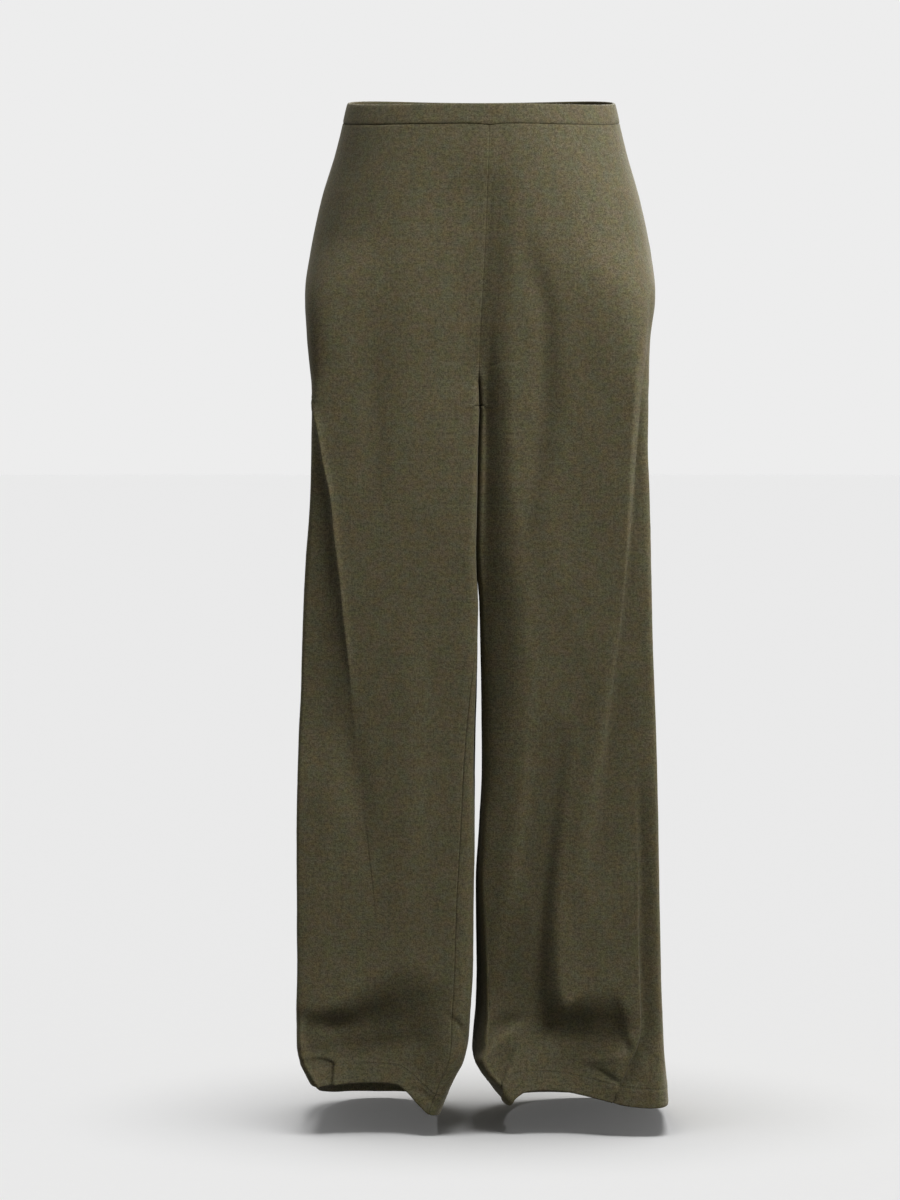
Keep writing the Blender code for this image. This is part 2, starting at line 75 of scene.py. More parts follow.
BEND_ROUND = 1.6 * MM       # no bend counts as tighter than this radius
JOIN_REACH = 22 * MM        # how far from a centre seam the two legs are drawn together
AHEAD_SHARE = 0.9           # share of the depth over which straight-back folds fade in
NORMAL_ANGLE = 0.004        # radians to each side, to find the section's own normal
LEAN_DEPTH = 110 * MM       # distance from the side plane at which the lean is as tabled
LEAN_WIDE = 60 * MM         # how far to each side the lean reaches
DIP_WIDE = 10 * MM          # how far to each side the centre dip reaches
STITCH_PITCH = 2.9 * MM     # from one hem stitch to the next
STITCH_LONG = 2.25 * MM     # length of one stitch
STITCH_START = 1 * MM       # from the panel's edge to its first stitch
RELIEF_FULL = 1.2 * MM      # standing this far out gets the full painted highlight, and as far in the full painted shade
WARP_PITCH = 1.05 * MM      # one pair of warp yarns
WEFT_PITCH = 1.15 * MM      # one pair of weft yarns
LINEN_TONE = 0.86           # darkens both of the linen's colours
FLOOR = -1.0475             # height of the floor
FLOOR_TURNS = 96            # points round the floor
CAMERA_AT = (-0.0322, -4.5, -0.310)
CAMERA_TILT = 2.508         # degrees downwards
KEY_AIM = 0.30              # how far below the waist the key light points
KEY_SPREAD = 62.0           # degrees: the key light's beam narrows, so it is weaker at the hems
GROOVE_WIDE = 0.75 * MM     # a seam's groove
SIDE_GROOVE = 0.80 * MM     # depth of the side seam's groove
PUCKER_WIDE = 8.0 * MM      # how far a seam's puckers reach
ALLOWANCE_UP = 0.22 * MM    # how far the allowance pushes the cloth out
ALLOWANCE_FADE = 1.6 * MM   # over which the cloth comes back from it
ALLOWANCE_EXTRA = 0.45 * MM  # and how much thicker the wall is over it
WAIST_PULL = 1.0 * MM       # how far the waist seam pulls the cloth in
HEM_UP = 0.30 * MM          # how far the turned-up hem stands out
STITCH_SINK = 0.42 * MM     # depth of the stitch line
STITCH_PULL = 0.20 * MM     # height of the small pulls along it
HEM_ROLL = 1.8 * MM         # height over which the hem's edge rolls under
# Columns beside a seam, as distances from it.
EDGE_STEPS = np.array([0, 0.45, 0.9, 1.4, 2.1, 3.1, 4.4, 5.9, 7.3, 8.3, 9.2, 10.4, 12.2]) * MM
STEP_ROUND = 0.55           # how far the two corners of a step are rounded
FOLD_BLEND = 3.0            # along a fold, its sizes are blended over this many millimetres
FOLD_WIDEN = 0.35           # and over this share of the distance from its line
TUCK_ROLL = 0.70            # share of a tuck's far side over which it grows steeper
TUCK_TURN = 0.60            # and the share over which it then levels out
SLOPE_BEND = 0.75           # below 1, a slope is steepest nearer its line
ALLOWANCE = 8.6 * MM        # width of the seam allowance pressed open behind a seam
SEAM_LAP = 0.02 * MM        # how far a panel's edge laps the middle plane, so that no light passes

SIDE_SIGN = {"right": -1.0, "left": 1.0}

# ---- Sections -------------------------------------------------------------
# How far each leg's section reaches from the middle plane.
WIDTH_COLUMNS = ("drop", "inner", "outer")
WIDTHS = {
    "right": [
        (0, 0, 138), (50, 0, 150), (100, 0, 165.5), (150, 0, 176), (190, 0, 180.5), (235, 0, 177.4),
        (262, 0, 174.6), (285, 0, 172.4), (306, 0.3, 172.2), (340, 1.8, 172.9), (400, 2.8, 174.4),
        (473, 3.4, 179.4), (550, 3.9, 183.6), (600, 5.2, 185.2), (680, 7, 187.9), (740, 6.9, 188.9),
        (800, 8, 188.7), (880, 8.6, 188.3), (925, 10.9, 189), (957, 12.9, 188.8), (975, 17.2, 185.6),
        (987, 23.6, 180), (1000, 30, 174.4), (1012, 35, 172.6), (1030, 42, 170.6), (1060, 56, 165),
    ],
    "left": [
        (0, 0, 138), (50, 0, 150), (100, 0, 165), (150, 0, 175), (190, 0, 179), (240, 0, 171.9),
        (280, 0, 169.8), (306, 0.3, 168.5), (340, -0.9, 168.5), (400, -2, 170.4), (473, -2.6, 172.2),
        (550, -1, 174.8), (600, 0, 177.4), (680, 0.6, 180.2), (740, -2, 181), (800, -5.2, 181.8),
        (880, -4.8, 183.1), (925, -5.8, 184.9), (957, -8.6, 186.4), (975, -9.8, 187.8), (987, -5, 189.2),
        (1000, 4.2, 190.4), (1012, 12, 191.2), (1025, 22, 192.4), (1060, 40, 194),
    ],
}
# How far the section reaches ahead of and behind the side plane.
DEPTH_COLUMNS = ("drop", "front", "back")
DEPTHS = [
    (0, 98, 98), (50, 107, 107), (100, 113, 119), (160, 117, 129), (220, 118, 131), (280, 116, 126),
    (360, 113, 117), (450, 110, 109), (550, 107, 105), (650, 105, 105), (750, 106, 108), (850, 110, 113),
    (930, 118, 118), (980, 125, 122), (1040, 130, 126), (1060, 131, 127),
]
# Where the section's front-most line lies, as a share of the way to the leg's middle.
MIDDLE_COLUMNS = ("drop", "share")
MIDDLES = [
    (0, 0), (262, 0), (306, 0.24), (340, 0.41), (400, 0.65), (480, 0.88), (560, 1), (1060, 1),
]
# Corner roundness: 2 is an ellipse, more is squarer.
ROUND_COLUMNS = ("drop", "inner_front", "outer_front", "outer_back", "inner_back")
ROUNDS = {
    "right": [
        (0, 3, 2.05, 2.05, 3), (130, 3.2, 3, 2.3, 3), (262, 7, 14, 2.75, 3), (320, 24, 32, 2.6, 2.7),
        (400, 32, 40, 2.6, 2.5), (600, 32, 40, 2.8, 2.5), (750, 28, 40, 2.9, 2.5), (900, 22, 36, 2.9, 2.5),
        (980, 12, 20, 2.6, 2.4), (1060, 5, 8, 2.4, 2.3),
    ],
    "left": [
        (0, 3, 2.05, 2.05, 3), (130, 3.2, 3, 2.3, 3), (262, 7, 14, 2.75, 3), (320, 16, 36, 2.6, 2.7),
        (400, 20, 40, 2.6, 2.5), (600, 18, 40, 2.8, 2.5), (750, 20, 40, 2.9, 2.5), (900, 20, 36, 2.9, 2.5),
        (980, 12, 16, 2.6, 2.4), (1060, 5, 6, 2.4, 2.3),
    ],
}
# Angles of the two leg seams: 0 is the inner side, 90 the front, 180 the outer side.
SEAM_COLUMNS = ("drop", "inseam", "sideseam")
SEAMS = {
    "right": [
        (0, 0, 180), (306, 0, 182), (360, 4, 184), (450, 22, 187),
        (550, 45, 190), (680, 49, 193), (930, 52, 196), (1060, 50, 196),
    ],
    "left": [
        (0, 0, 180), (306, 0, 178), (360, -2, 176), (450, -6, 172),
        (550, -10, 167), (680, -14, 161), (930, -18, 156), (1060, -18, 157),
    ],
}
# The hem line round each leg.
HEMLINE_COLUMNS = ("angle", "drop")
HEMLINES = {
    "right": [
        (0, 1034), (15, 1033), (30, 1030), (40, 1028.5), (50, 1025), (60, 1015), (70, 1003), (80, 995.5),
        (95, 994.5), (110, 995), (125, 997), (136, 998), (148, 994.5), (160, 1000), (180, 1015),
        (205, 1029), (230, 1037), (270, 1040), (320, 1038), (360, 1034),
    ],
    "left": [
        (0, 1028), (10, 1024), (20, 1020.5), (30, 1019), (40, 1019), (50, 1013), (60, 1004), (70, 1002.5),
        (80, 1003.5), (100, 1009.5), (120, 1017), (130, 1018.5), (140, 1017.5), (150, 1019.5),
        (160, 1023.5), (180, 1031), (200, 1036), (230, 1040), (270, 1042), (320, 1036), (360, 1028),
    ],
}
# Each panel's points are shared out on two sides of this line, so that they stay
# level while the fork opens at the crotch.
SPLIT_COLUMNS = ("drop", "out")
SPLITS = [(0, 46), (150, 42), (262, 26), (306, 38), (400, 60), (520, 84), (1060, 92)]
# Sideways lean of the centre seams.
LEAN_COLUMNS = ("drop", "shift")
LEANS = [
    (0, 8.5), (20, 8), (145, 3.2), (280, -3.2), (340, -2.6), (400, -3), (450, -3.6), (480, -2), (510, 0),
    (1060, 0),
]

# ---- Folds ----------------------------------------------------------------
# A fold follows its rows. On the front and back "out" is the distance from the
# middle plane; on the outer and inner sides it is the distance along the cloth
# from the side line, positive towards the back. "deep" stands out where positive.
# "near" is its width on the inner side of a fold that runs down, or the lower
# side of one that runs outwards. "far" is the other side.
# soft: a rounded trough or roll. sharp: a narrow one. step_far and step_near: the
# cloth folds over at the line and drops by "deep" on that side. The width of the
# other side is then that of the slope, and its own is how slowly the cloth rises again.
# tuck: on the far side the cloth rolls over, steeper and steeper, down into a crease at the
# line, and on the near side it comes slowly back to its old level.
# Three kinds move the cloth straight back by "deep", so that the leg stays as wide. slope:
# the near side lies back, and the far side comes forward over its width. ledge: the near
# side rolls over within its width, and the far side lies back. chamfer: the far side falls
# back from the line, steepest there. The other width is where each of them fades out.
FOLD_COLUMNS = ("out", "drop", "deep", "near", "far")
FOLDS = {
    "right": [
        ("outer_chamfer", "front", "chamfer", [
            (173, 284, 0, 60, 12), (169, 320, 8, 60, 12), (162, 361, 11, 60, 16), (154, 401, 13, 60, 18),
            (150, 442, 14, 60, 19), (145, 482, 15, 60, 20), (141, 523, 15, 60, 24), (136, 563, 14, 60, 26),
            (132, 604, 12, 60, 29), (127, 645, 7, 60, 32), (122, 690, 0, 60, 36)]),
        ("outer_lip", "front", "sharp", [
            (172, 290, 0, 5, 2), (168, 320, 2.4, 6, 2), (161, 361, 3.6, 6, 2), (153, 401, 3.8, 6, 2),
            (149, 442, 3.4, 6, 2), (144, 482, 2.6, 6, 2), (140, 523, 2.2, 6, 2), (135, 563, 1.4, 6, 3),
            (130, 610, 0, 7, 3)]),
        ("step_tail", "front", "soft", [
            (136, 600, 0, 13, 14), (130, 650, -2.5, 14, 14), (125, 690, -4, 14, 15), (120, 735, -3, 15, 15),
            (114, 790, 0, 15, 16)]),
        ("centre_slope", "front", "slope", [
            (0, 60, 0, 60, 90), (0, 97, 5.5, 60, 90), (1, 158, 8.5, 60, 90), (2, 218, 10.5, 60, 90),
            (4, 262, 11, 60, 90), (5, 300, 8.5, 60, 90), (6, 345, 5.2, 60, 88), (7, 400, 2.2, 60, 84),
            (8, 460, 0, 60, 80)]),
        ("thigh_band", "front", "soft", [
            (106, 198, 0, 14, 14), (107, 300, -2.2, 14, 14), (106, 360, -1.6, 14, 14),
            (106, 442, 0, 14, 14)]),
        ("shin_roll", "front", "soft", [
            (75, 502, 0, 17, 17), (73, 584, 1.8, 17, 17), (73, 686, 2.2, 17, 17), (78, 788, 2, 17, 17),
            (85, 844, 0, 16, 16)]),
        ("break_crease", "front", "tuck", [
            (22, 914, 0, 50, 28), (34, 912, 2, 50, 32), (46, 912, 4.5, 60, 38), (58, 914, 9, 75, 48),
            (73, 918, 15, 90, 56), (87, 923, 20, 90, 54), (104, 927, 25, 90, 46), (118, 930, 27, 90, 38),
            (134, 934, 28, 90, 30), (149, 935, 25, 90, 25), (162, 935, 17, 80, 22), (173, 933, 10, 70, 20),
            (181, 930, 5, 60, 18), (192, 942, 0, 50, 16)]),
        ("low_crease", "front", "soft", [
            (45, 948, 0, 9, 10), (73, 952, -1.4, 10, 11), (98, 957, -3, 11, 11), (134, 962, -3.6, 10, 11),
            (162, 963, -3, 9, 10), (179, 965, -1.5, 7, 8), (188, 966, 0, 6, 7)]),
        ("hem_facet", "front", "step_near", [
            (150, 1004, 3.4, 16, 4), (150, 992, 3.6, 16, 4), (149, 982, 3.8, 16, 4), (149, 975, 3.8, 16, 4),
            (152, 972, 3.8, 16, 4), (160, 969, 3.6, 16, 4), (170, 968, 3, 15, 4), (181, 968, 1.8, 14, 4),
            (190, 968, 0, 12, 4)]),
        ("facet_rim", "front", "sharp", [
            (148, 1004, 0.6, 3, 3), (148, 992, 0.9, 3, 3), (147, 982, 1.2, 3, 3), (147, 973, 1.3, 3, 3),
            (151, 968, 1.3, 3, 3), (159, 967, 1.3, 3, 3), (170, 966, 1.1, 3, 3), (181, 966, 0.6, 3, 3),
            (189, 966, 0, 3, 3)]),
        ("facet_ridge", "front", "sharp", [
            (164, 972, 0, 3, 3), (162, 981, 1, 3, 3), (161, 989, 1.4, 3, 3), (161, 1006, 1.4, 3, 3)]),
        ("inseam_pull", "front", "sharp", [
            (37, 922, 0, 4, 4), (27, 930, -1.8, 4, 4), (19, 939, -2.6, 4, 4), (14, 950, -2.2, 4, 4),
            (13, 965, 0, 4, 4)]),
        ("corner_fold", "front", "sharp", [
            (75, 998, 0, 4, 4), (62, 1002, -1, 4, 4), (50, 1010, -1.4, 4, 4), (42, 1018, -1, 4, 4)]),
        ("seat_fold", "back", "soft", [
            (16, 282, 0, 12, 13), (42, 316, -3.2, 13, 14), (78, 356, -4.2, 14, 16),
            (118, 400, -2.6, 15, 17), (148, 436, 0, 15, 17)]),
        ("seat_fold_low", "back", "soft", [
            (14, 304, 0, 11, 12), (30, 352, -3.2, 12, 13), (50, 414, -3.8, 13, 14), (66, 484, -2.2, 14, 15),
            (74, 548, 0, 14, 15)]),
        ("back_trough", "back", "soft", [
            (112, 430, 0, 16, 18), (114, 520, -3.6, 16, 18), (108, 640, -5, 16, 18), (98, 760, -4, 15, 17),
            (92, 868, 0, 14, 16)]),
        ("calf_tuck", "back", "step_far", [
            (156, 560, 0, 12, 14), (146, 660, 5, 12, 16), (138, 780, 6.5, 12, 17), (132, 880, 4, 12, 16),
            (130, 960, 0, 12, 15)]),
        ("back_inner_roll", "back", "soft", [
            (44, 560, 0, 16, 16), (46, 680, 2.4, 16, 16), (52, 800, 2.4, 16, 16), (60, 890, 0, 14, 14)]),
        ("back_break", "back", "soft", [
            (14, 900, 0, 12, 15), (60, 892, -4, 12, 16), (112, 902, -5.5, 12, 16), (150, 918, -3, 11, 14),
            (178, 928, 0, 10, 12)]),
        ("back_roll", "back", "soft", [
            (30, 934, 0, 11, 11), (80, 936, 3, 11, 11), (130, 944, 2.6, 10, 10), (168, 956, 0, 9, 9)]),
        ("back_low", "back", "soft", [
            (40, 966, 0, 9, 9), (84, 962, -2, 9, 9), (124, 972, -1.6, 9, 9), (150, 986, 0, 9, 9)]),
        ("side_trough", "outer", "soft", [
            (34, 60, 0, 10, 12), (34, 160, -1.6, 11, 12), (38, 300, -3, 12, 13), (44, 450, -3.4, 13, 14),
            (44, 600, -2, 13, 14), (40, 700, 0, 13, 14)]),
        ("side_crest", "outer", "sharp", [
            (62, 240, 0, 12, 12), (68, 380, 2.6, 12, 12), (74, 520, 3.4, 12, 12), (76, 660, 2, 12, 12),
            (74, 760, 0, 12, 12)]),
        ("inner_pass", "inner", "soft", [
            (34, 312, 0, 16, 22), (36, 345, -5, 17, 24), (36, 400, -7, 18, 24), (36, 450, -5.5, 18, 24),
            (36, 505, 0, 18, 24)]),
        ("inner_trough", "inner", "soft", [
            (26, 340, 0, 12, 12), (34, 440, -3, 13, 13), (40, 560, -3.6, 14, 14), (40, 700, -2.4, 14, 14),
            (36, 800, 0, 14, 14)]),
    ],
    "left": [
        ("centre_slope", "front", "slope", [
            (3, 60, 0, 60, 32), (2, 97, 5.5, 60, 32), (1, 158, 8.5, 60, 33), (0, 218, 10.5, 60, 33),
            (1, 262, 11.5, 60, 33), (4, 290, 12, 60, 30), (6, 320, 13, 60, 28), (6, 361, 13.5, 60, 29),
            (5, 401, 16, 60, 35), (4, 442, 19, 60, 44), (4, 482, 21, 60, 48), (4, 523, 22, 60, 49),
            (4, 604, 22, 60, 48), (4, 665, 20, 60, 44), (1, 766, 14, 60, 40), (-1, 810, 14, 60, 50),
            (-2, 848, 16, 60, 66), (-3, 900, 17, 60, 72), (-5, 940, 13, 60, 70), (-6, 975, 0, 60, 60)]),
        ("centre_trough", "front", "soft", [
            (12, 200, 0, 6, 8), (9, 262, -1.6, 6, 8), (8, 320, -2.2, 6, 8), (8, 380, -2, 6, 8),
            (9, 440, -1.2, 6, 9), (10, 500, 0, 6, 9)]),
        ("thigh_trough", "front", "soft", [
            (39, 124, 0, 11, 12), (53, 168, -2.5, 11, 12), (65, 220, -4, 11, 12), (66, 280, -4.6, 11, 13),
            (62, 340, -4, 11, 13), (56, 390, -3, 10, 12), (49, 446, -1.6, 9, 12), (43, 502, 0, 9, 12)]),
        ("thigh_roll", "front", "soft", [
            (34, 220, 0, 8, 8), (34, 300, 1, 8, 8), (32, 380, 1, 8, 8), (30, 442, 0, 8, 8)]),
        ("knee_roll", "front", "soft", [
            (51, 604, 0, 10, 12), (45, 666, 1.6, 10, 12), (36, 738, 2.2, 10, 11), (26, 800, 2.2, 9, 11),
            (17, 852, 1.6, 8, 10), (9, 900, 0, 8, 9)]),
        ("outer_ledge", "front", "ledge", [
            (174, 150, 0, 12, 60), (171, 200, 4, 11, 60), (168, 239, 7, 10, 60), (163, 279, 9.5, 9, 60),
            (159.5, 320, 9.5, 7.5, 60), (156.5, 361, 9, 7, 60), (154, 401, 8, 6.5, 60),
            (151, 442, 6, 4.8, 60), (147, 482, 4.4, 3.4, 60), (143, 523, 3.6, 3, 60),
            (137.5, 563, 3, 3, 60), (132, 604, 2.6, 3, 60), (126.5, 645, 1.4, 3.5, 60),
            (121, 690, 0, 5, 60)]),
        ("outer_step", "front", "step_far", [
            (136, 570, 0, 4.2, 36), (130, 614, 3, 5, 36), (122, 660, 4.6, 7, 36), (116, 696, 5, 9, 36),
            (111, 732, 4.4, 12, 36), (106, 768, 3, 14, 34), (100, 808, 0, 14, 32)]),
        ("outer_roll", "front", "soft", [
            (143, 492, 0, 12, 6), (132, 554, 1.2, 12, 6), (124, 614, 2.2, 12, 6), (116, 660, 3, 12, 8),
            (109, 696, 3.4, 12, 10), (103, 732, 3.4, 11, 12), (97, 772, 2.4, 10, 12), (92, 812, 0, 10, 12)]),
        ("break_crease", "front", "tuck", [
            (88, 620, 0, 50, 16), (83, 650, 3, 50, 16), (78, 690, 6, 55, 16), (72, 736, 9, 60, 17),
            (68, 778, 12, 60, 17), (65, 812, 14, 65, 17), (63, 844, 16, 70, 18), (63, 868, 18, 76, 18),
            (63, 894, 21, 80, 20), (65, 918, 24, 85, 25), (72, 933, 27, 85, 32), (84, 939, 29, 90, 38),
            (100, 939, 27, 90, 42), (116, 939, 20, 90, 40), (128, 939, 14, 80, 38), (139, 940, 8, 60, 34),
            (148, 943, 3, 50, 28), (155, 948, 0, 40, 24)]),
        ("foot_wedge", "front", "step_near", [
            (143, 894, 0, 26, 16), (146, 903, 2.2, 26, 16), (149, 917, 5, 26, 15), (151, 931, 6.4, 26, 14),
            (152, 943, 6, 24, 12), (156, 955, 4, 20, 10), (159, 965, 0, 16, 8)]),
        ("low_crease", "front", "soft", [
            (64, 956, 0, 8, 9), (82, 954, -1.8, 9, 10), (104, 952, -2.4, 9, 10), (124, 950, -1.6, 8, 9),
            (138, 948, 0, 7, 8)]),
        ("hem_step", "front", "step_far", [
            (155, 666, 0, 4, 12), (156, 706, 2, 3.5, 12), (158, 748, 4, 3, 13), (159, 788, 5.5, 2.6, 13),
            (159, 838, 6.5, 2.4, 14), (160, 894, 7, 2.4, 14), (161, 934, 7, 2.6, 14), (158, 951, 7, 3, 14),
            (154, 962, 6.5, 3, 14), (149, 971, 6, 3.5, 13), (145, 982, 6, 4, 12), (140, 993, 5, 4, 11),
            (136, 1004, 3, 4, 10)]),
        ("hem_ledge", "front", "soft", [
            (96, 974, 0, 4, 4), (108, 972, 0.9, 4, 4), (123, 970, 1.4, 4, 4), (135, 968, 1.3, 4, 4),
            (147, 966, 0, 4, 4)]),
        ("hem_pocket", "front", "sharp", [
            (104, 978, 0, 5, 4), (112, 980, -1.2, 5, 4), (121, 983, -2.2, 5, 4), (129, 987, -2.6, 5, 4),
            (136, 991, -2.2, 5, 4), (141, 997, -1.2, 4, 4), (144, 1003, 0, 4, 4)]),
        ("hem_diagonal", "front", "sharp", [
            (-11, 976, 1.6, 7, 7), (-6, 970, 2.6, 7, 7), (3, 964, 3.2, 7, 7), (15, 954, 3.2, 7, 7),
            (27, 946, 2.6, 7, 7), (39, 938, 1.4, 7, 7), (51, 937, 0, 7, 7)]),
        ("above_diagonal", "front", "soft", [
            (-10, 966, 0, 6, 8), (-1, 958, -3, 6, 9), (10, 948, -4.6, 7, 10), (22, 940, -4.6, 7, 10),
            (33, 934, -3, 7, 9), (43, 929, 0, 7, 8)]),
        ("hem_triangle", "front", "step_near", [
            (38, 956, 0, 16, 5), (35, 967, 2.6, 16, 5), (30, 979, 4.4, 16, 5), (23, 993, 5, 16, 5),
            (22, 1025, 5, 16, 5)]),
        ("seat_fold", "back", "soft", [
            (18, 280, 0, 12, 13), (48, 312, -3.6, 13, 14), (86, 350, -4, 14, 16), (126, 392, -2.4, 15, 17),
            (154, 424, 0, 15, 17)]),
        ("seat_fold_low", "back", "soft", [
            (12, 310, 0, 11, 12), (26, 366, -3.4, 12, 13), (42, 436, -3.6, 13, 14), (54, 512, -2, 14, 15),
            (60, 580, 0, 14, 15)]),
        ("back_trough", "back", "soft", [
            (118, 440, 0, 16, 18), (116, 540, -4, 16, 18), (106, 660, -5.2, 16, 18),
            (92, 780, -4.4, 15, 17), (84, 880, 0, 14, 16)]),
        ("calf_crest", "back", "sharp", [
            (150, 520, 0, 13, 13), (144, 640, 3.4, 13, 13), (136, 760, 4.4, 13, 13), (126, 860, 3, 13, 13),
            (116, 930, 0, 13, 13)]),
        ("back_inner_fold", "back", "soft", [
            (34, 640, 0, 14, 14), (34, 740, -3, 14, 14), (40, 830, -3.4, 13, 13), (50, 900, 0, 12, 12)]),
        ("back_break", "back", "soft", [
            (8, 912, 0, 12, 14), (54, 900, -4.4, 12, 16), (100, 896, -5, 12, 16), (146, 904, -3, 11, 14),
            (178, 916, 0, 10, 12)]),
        ("back_roll", "back", "soft", [
            (20, 944, 0, 11, 11), (66, 938, 3, 11, 11), (116, 934, 3, 10, 10), (160, 942, 0, 9, 9)]),
        ("back_low", "back", "soft", [
            (30, 974, 0, 9, 9), (70, 966, -2, 9, 9), (112, 962, -2.2, 9, 9), (148, 972, 0, 9, 9)]),
        ("side_trough", "outer", "soft", [
            (36, 80, 0, 10, 12), (38, 190, -1.8, 11, 12), (42, 330, -3.2, 12, 13), (46, 480, -3, 13, 14),
            (44, 620, 0, 13, 14)]),
        ("side_low_trough", "outer", "soft", [
            (38, 560, 0, 12, 12), (46, 680, -3, 12, 13), (50, 800, -4, 12, 13), (50, 900, -3, 12, 13),
            (48, 980, 0, 12, 12)]),
        ("inner_pass", "inner", "soft", [
            (36, 318, 0, 14, 18), (38, 348, 4.5, 14, 18), (38, 400, 6, 14, 18), (38, 445, 4.5, 14, 18),
            (38, 490, 0, 14, 18)]),
        ("inner_trough", "inner", "soft", [
            (4, 460, 0, 12, 12), (24, 500, 0, 12, 12), (34, 540, -3, 13, 13), (38, 600, -4, 14, 14),
            (36, 720, -3, 14, 14), (30, 820, 0, 14, 14)]),
    ],
}
STRAIGHT_BACK = ("slope", "ledge", "chamfer")
FACES = ("front", "back", "outer", "inner")
# Distance from the middle plane of the line where the cloth's grain is upright.
GRAIN_LINE = 92 * MM


# ---- Curves ---------------------------------------------------------------
def spline(along, value, at):
    """Smooth curve through the values, with no overshoot."""
    step = np.diff(along)
    rise = np.diff(value) / step
    slope = np.zeros(len(value))
    turning = rise[:-1] * rise[1:] <= 0
    safe = np.where(turning, 1.0, rise[:-1])
    safe_next = np.where(turning, 1.0, rise[1:])
    wide = 2 * step[1:] + step[:-1]
    wide_next = step[1:] + 2 * step[:-1]
    mean = (wide + wide_next) / (wide / safe + wide_next / safe_next)
    slope[1:-1] = np.where(turning, 0.0, mean)
    slope[0] = rise[0]
    slope[-1] = rise[-1]
    at = np.clip(at, along[0], along[-1])
    i = np.clip(np.searchsorted(along, at, side="right") - 1, 0, len(step) - 1)
    t = (at - along[i]) / step[i]
    return (
        value[i] * (1 + 2 * t) * (1 - t) ** 2
        + slope[i] * step[i] * t * (1 - t) ** 2
        + value[i + 1] * t * t * (3 - 2 * t)
        + slope[i + 1] * step[i] * t * t * (t - 1)
    )


def curve(names, rows, name, at):
    """The named column of a table against its first one, as a smooth curve."""
    plain = ("angle", "share", "inseam", "sideseam")
    along = np.array([row[0] for row in rows]) * (1.0 if names[0] in plain else MM)
    unit = 1.0 if name in plain or names is ROUND_COLUMNS else MM
    value = np.array([row[names.index(name)] for row in rows]) * unit
    return spline(along, value, at)


def ease(t):
    t = np.clip(t, 0, 1)
    return t * t * (3 - 2 * t)


# ---- The smooth section ---------------------------------------------------
def reach(side, drop):
    """Inner edge, front-most line and outer edge of the section."""
    inner = curve(WIDTH_COLUMNS, WIDTHS[side], "inner", drop)
    outer = curve(WIDTH_COLUMNS, WIDTHS[side], "outer", drop)
    share = curve(MIDDLE_COLUMNS, MIDDLES, "share", drop)
    return inner, inner + share * (outer - inner) / 2, outer


def section(side, angle, drop):
    """Smooth section: distance out from the middle plane, and y."""
    inner, middle, outer = reach(side, drop)
    front = curve(DEPTH_COLUMNS, DEPTHS, "front", drop)
    back = curve(DEPTH_COLUMNS, DEPTHS, "back", drop)
    c = np.cos(angle)
    s = np.sin(angle)
    corner = [curve(ROUND_COLUMNS, ROUNDS[side], name, drop) for name in ROUND_COLUMNS[1:]]
    ahead = np.where(c > 0, corner[0], corner[1])
    behind = np.where(c > 0, corner[3], corner[2])
    n = np.where(s > 0, ahead, behind)
    across = np.maximum(np.abs(c), 1e-9)
    along = np.maximum(np.abs(s), 1e-9)
    size = (across**n + along**n) ** (-1 / n)
    out = middle - np.where(c > 0, middle - inner, outer - middle) * size * c
    return out, (back - front) / 2 - (back + front) / 2 * size * s


def face_angle(side, face, out, drop):
    """Angle of the point of the front or back that lies "out" from the middle plane."""
    inner, middle, outer = reach(side, drop)
    half = np.maximum(np.where(out < middle, middle - inner, outer - middle), 1e-6)
    share = np.clip(np.abs(out - middle) / half, 1e-6, 0.9995)
    names = ("inner_front", "outer_front") if face == "front" else ("inner_back", "outer_back")
    near = curve(ROUND_COLUMNS, ROUNDS[side], names[0], drop)
    far = curve(ROUND_COLUMNS, ROUNDS[side], names[1], drop)
    n = np.where(out < middle, near, far)
    angle = np.arctan((share ** (-n) - 1) ** (1 / n))
    angle = np.where(out < middle, angle, np.pi - angle)
    return angle if face == "front" else -angle


def lattice_noise(seed, x, y):
    """Smooth seeded noise, about -1 to 1, with one bump to a unit of x and y."""
    size = 128
    grid = np.random.default_rng(seed).uniform(-1, 1, (size, size))
    i = np.floor(x).astype(int)
    j = np.floor(y).astype(int)
    u = x - i
    v = y - j
    u = u * u * u * (u * (6 * u - 15) + 10)
    v = v * v * v * (v * (6 * v - 15) + 10)
    i0 = i % size
    j0 = j % size
    i1 = (i + 1) % size
    j1 = (j + 1) % size
    low = grid[i0, j0] * (1 - u) + grid[i1, j0] * u
    high = grid[i0, j1] * (1 - u) + grid[i1, j1] * u
    return low * (1 - v) + high * v


# ---- Distances along the cloth --------------------------------------------
ARC_STEP = 1.25 * MM
ARC_DEGREES = np.arange(-90, 270.5, 0.5)
ARC_DROPS = np.arange(0, 1.0801, ARC_STEP)


def arc_table(side):
    """Distance round the smooth section from the front line, outwards positive."""
    angle, drop = np.meshgrid(np.radians(ARC_DEGREES), ARC_DROPS)
    out, y = section(side, angle, drop)
    run = np.hypot(np.diff(out, axis=1), np.diff(y, axis=1))
    total = np.concatenate([np.zeros((len(ARC_DROPS), 1)), np.cumsum(run, axis=1)], axis=1)
    return total - total[:, [360]]


ARCS = {side: arc_table(side) for side in SIDE_SIGN}


def arc(side, degrees, drop):
    """The arc table, read between its points."""
    table = ARCS[side]
    x = np.clip(2 * (degrees - ARC_DEGREES[0]), 0, len(ARC_DEGREES) - 1.0001)
    y = np.clip(drop / ARC_STEP, 0, len(ARC_DROPS) - 1.0001)
    i = x.astype(int)
    j = y.astype(int)
    u = x - i
    v = y - j
    upper = table[j, i] * (1 - u) + table[j, i + 1] * u
    lower = table[j + 1, i] * (1 - u) + table[j + 1, i + 1] * u
    return upper * (1 - v) + lower * v


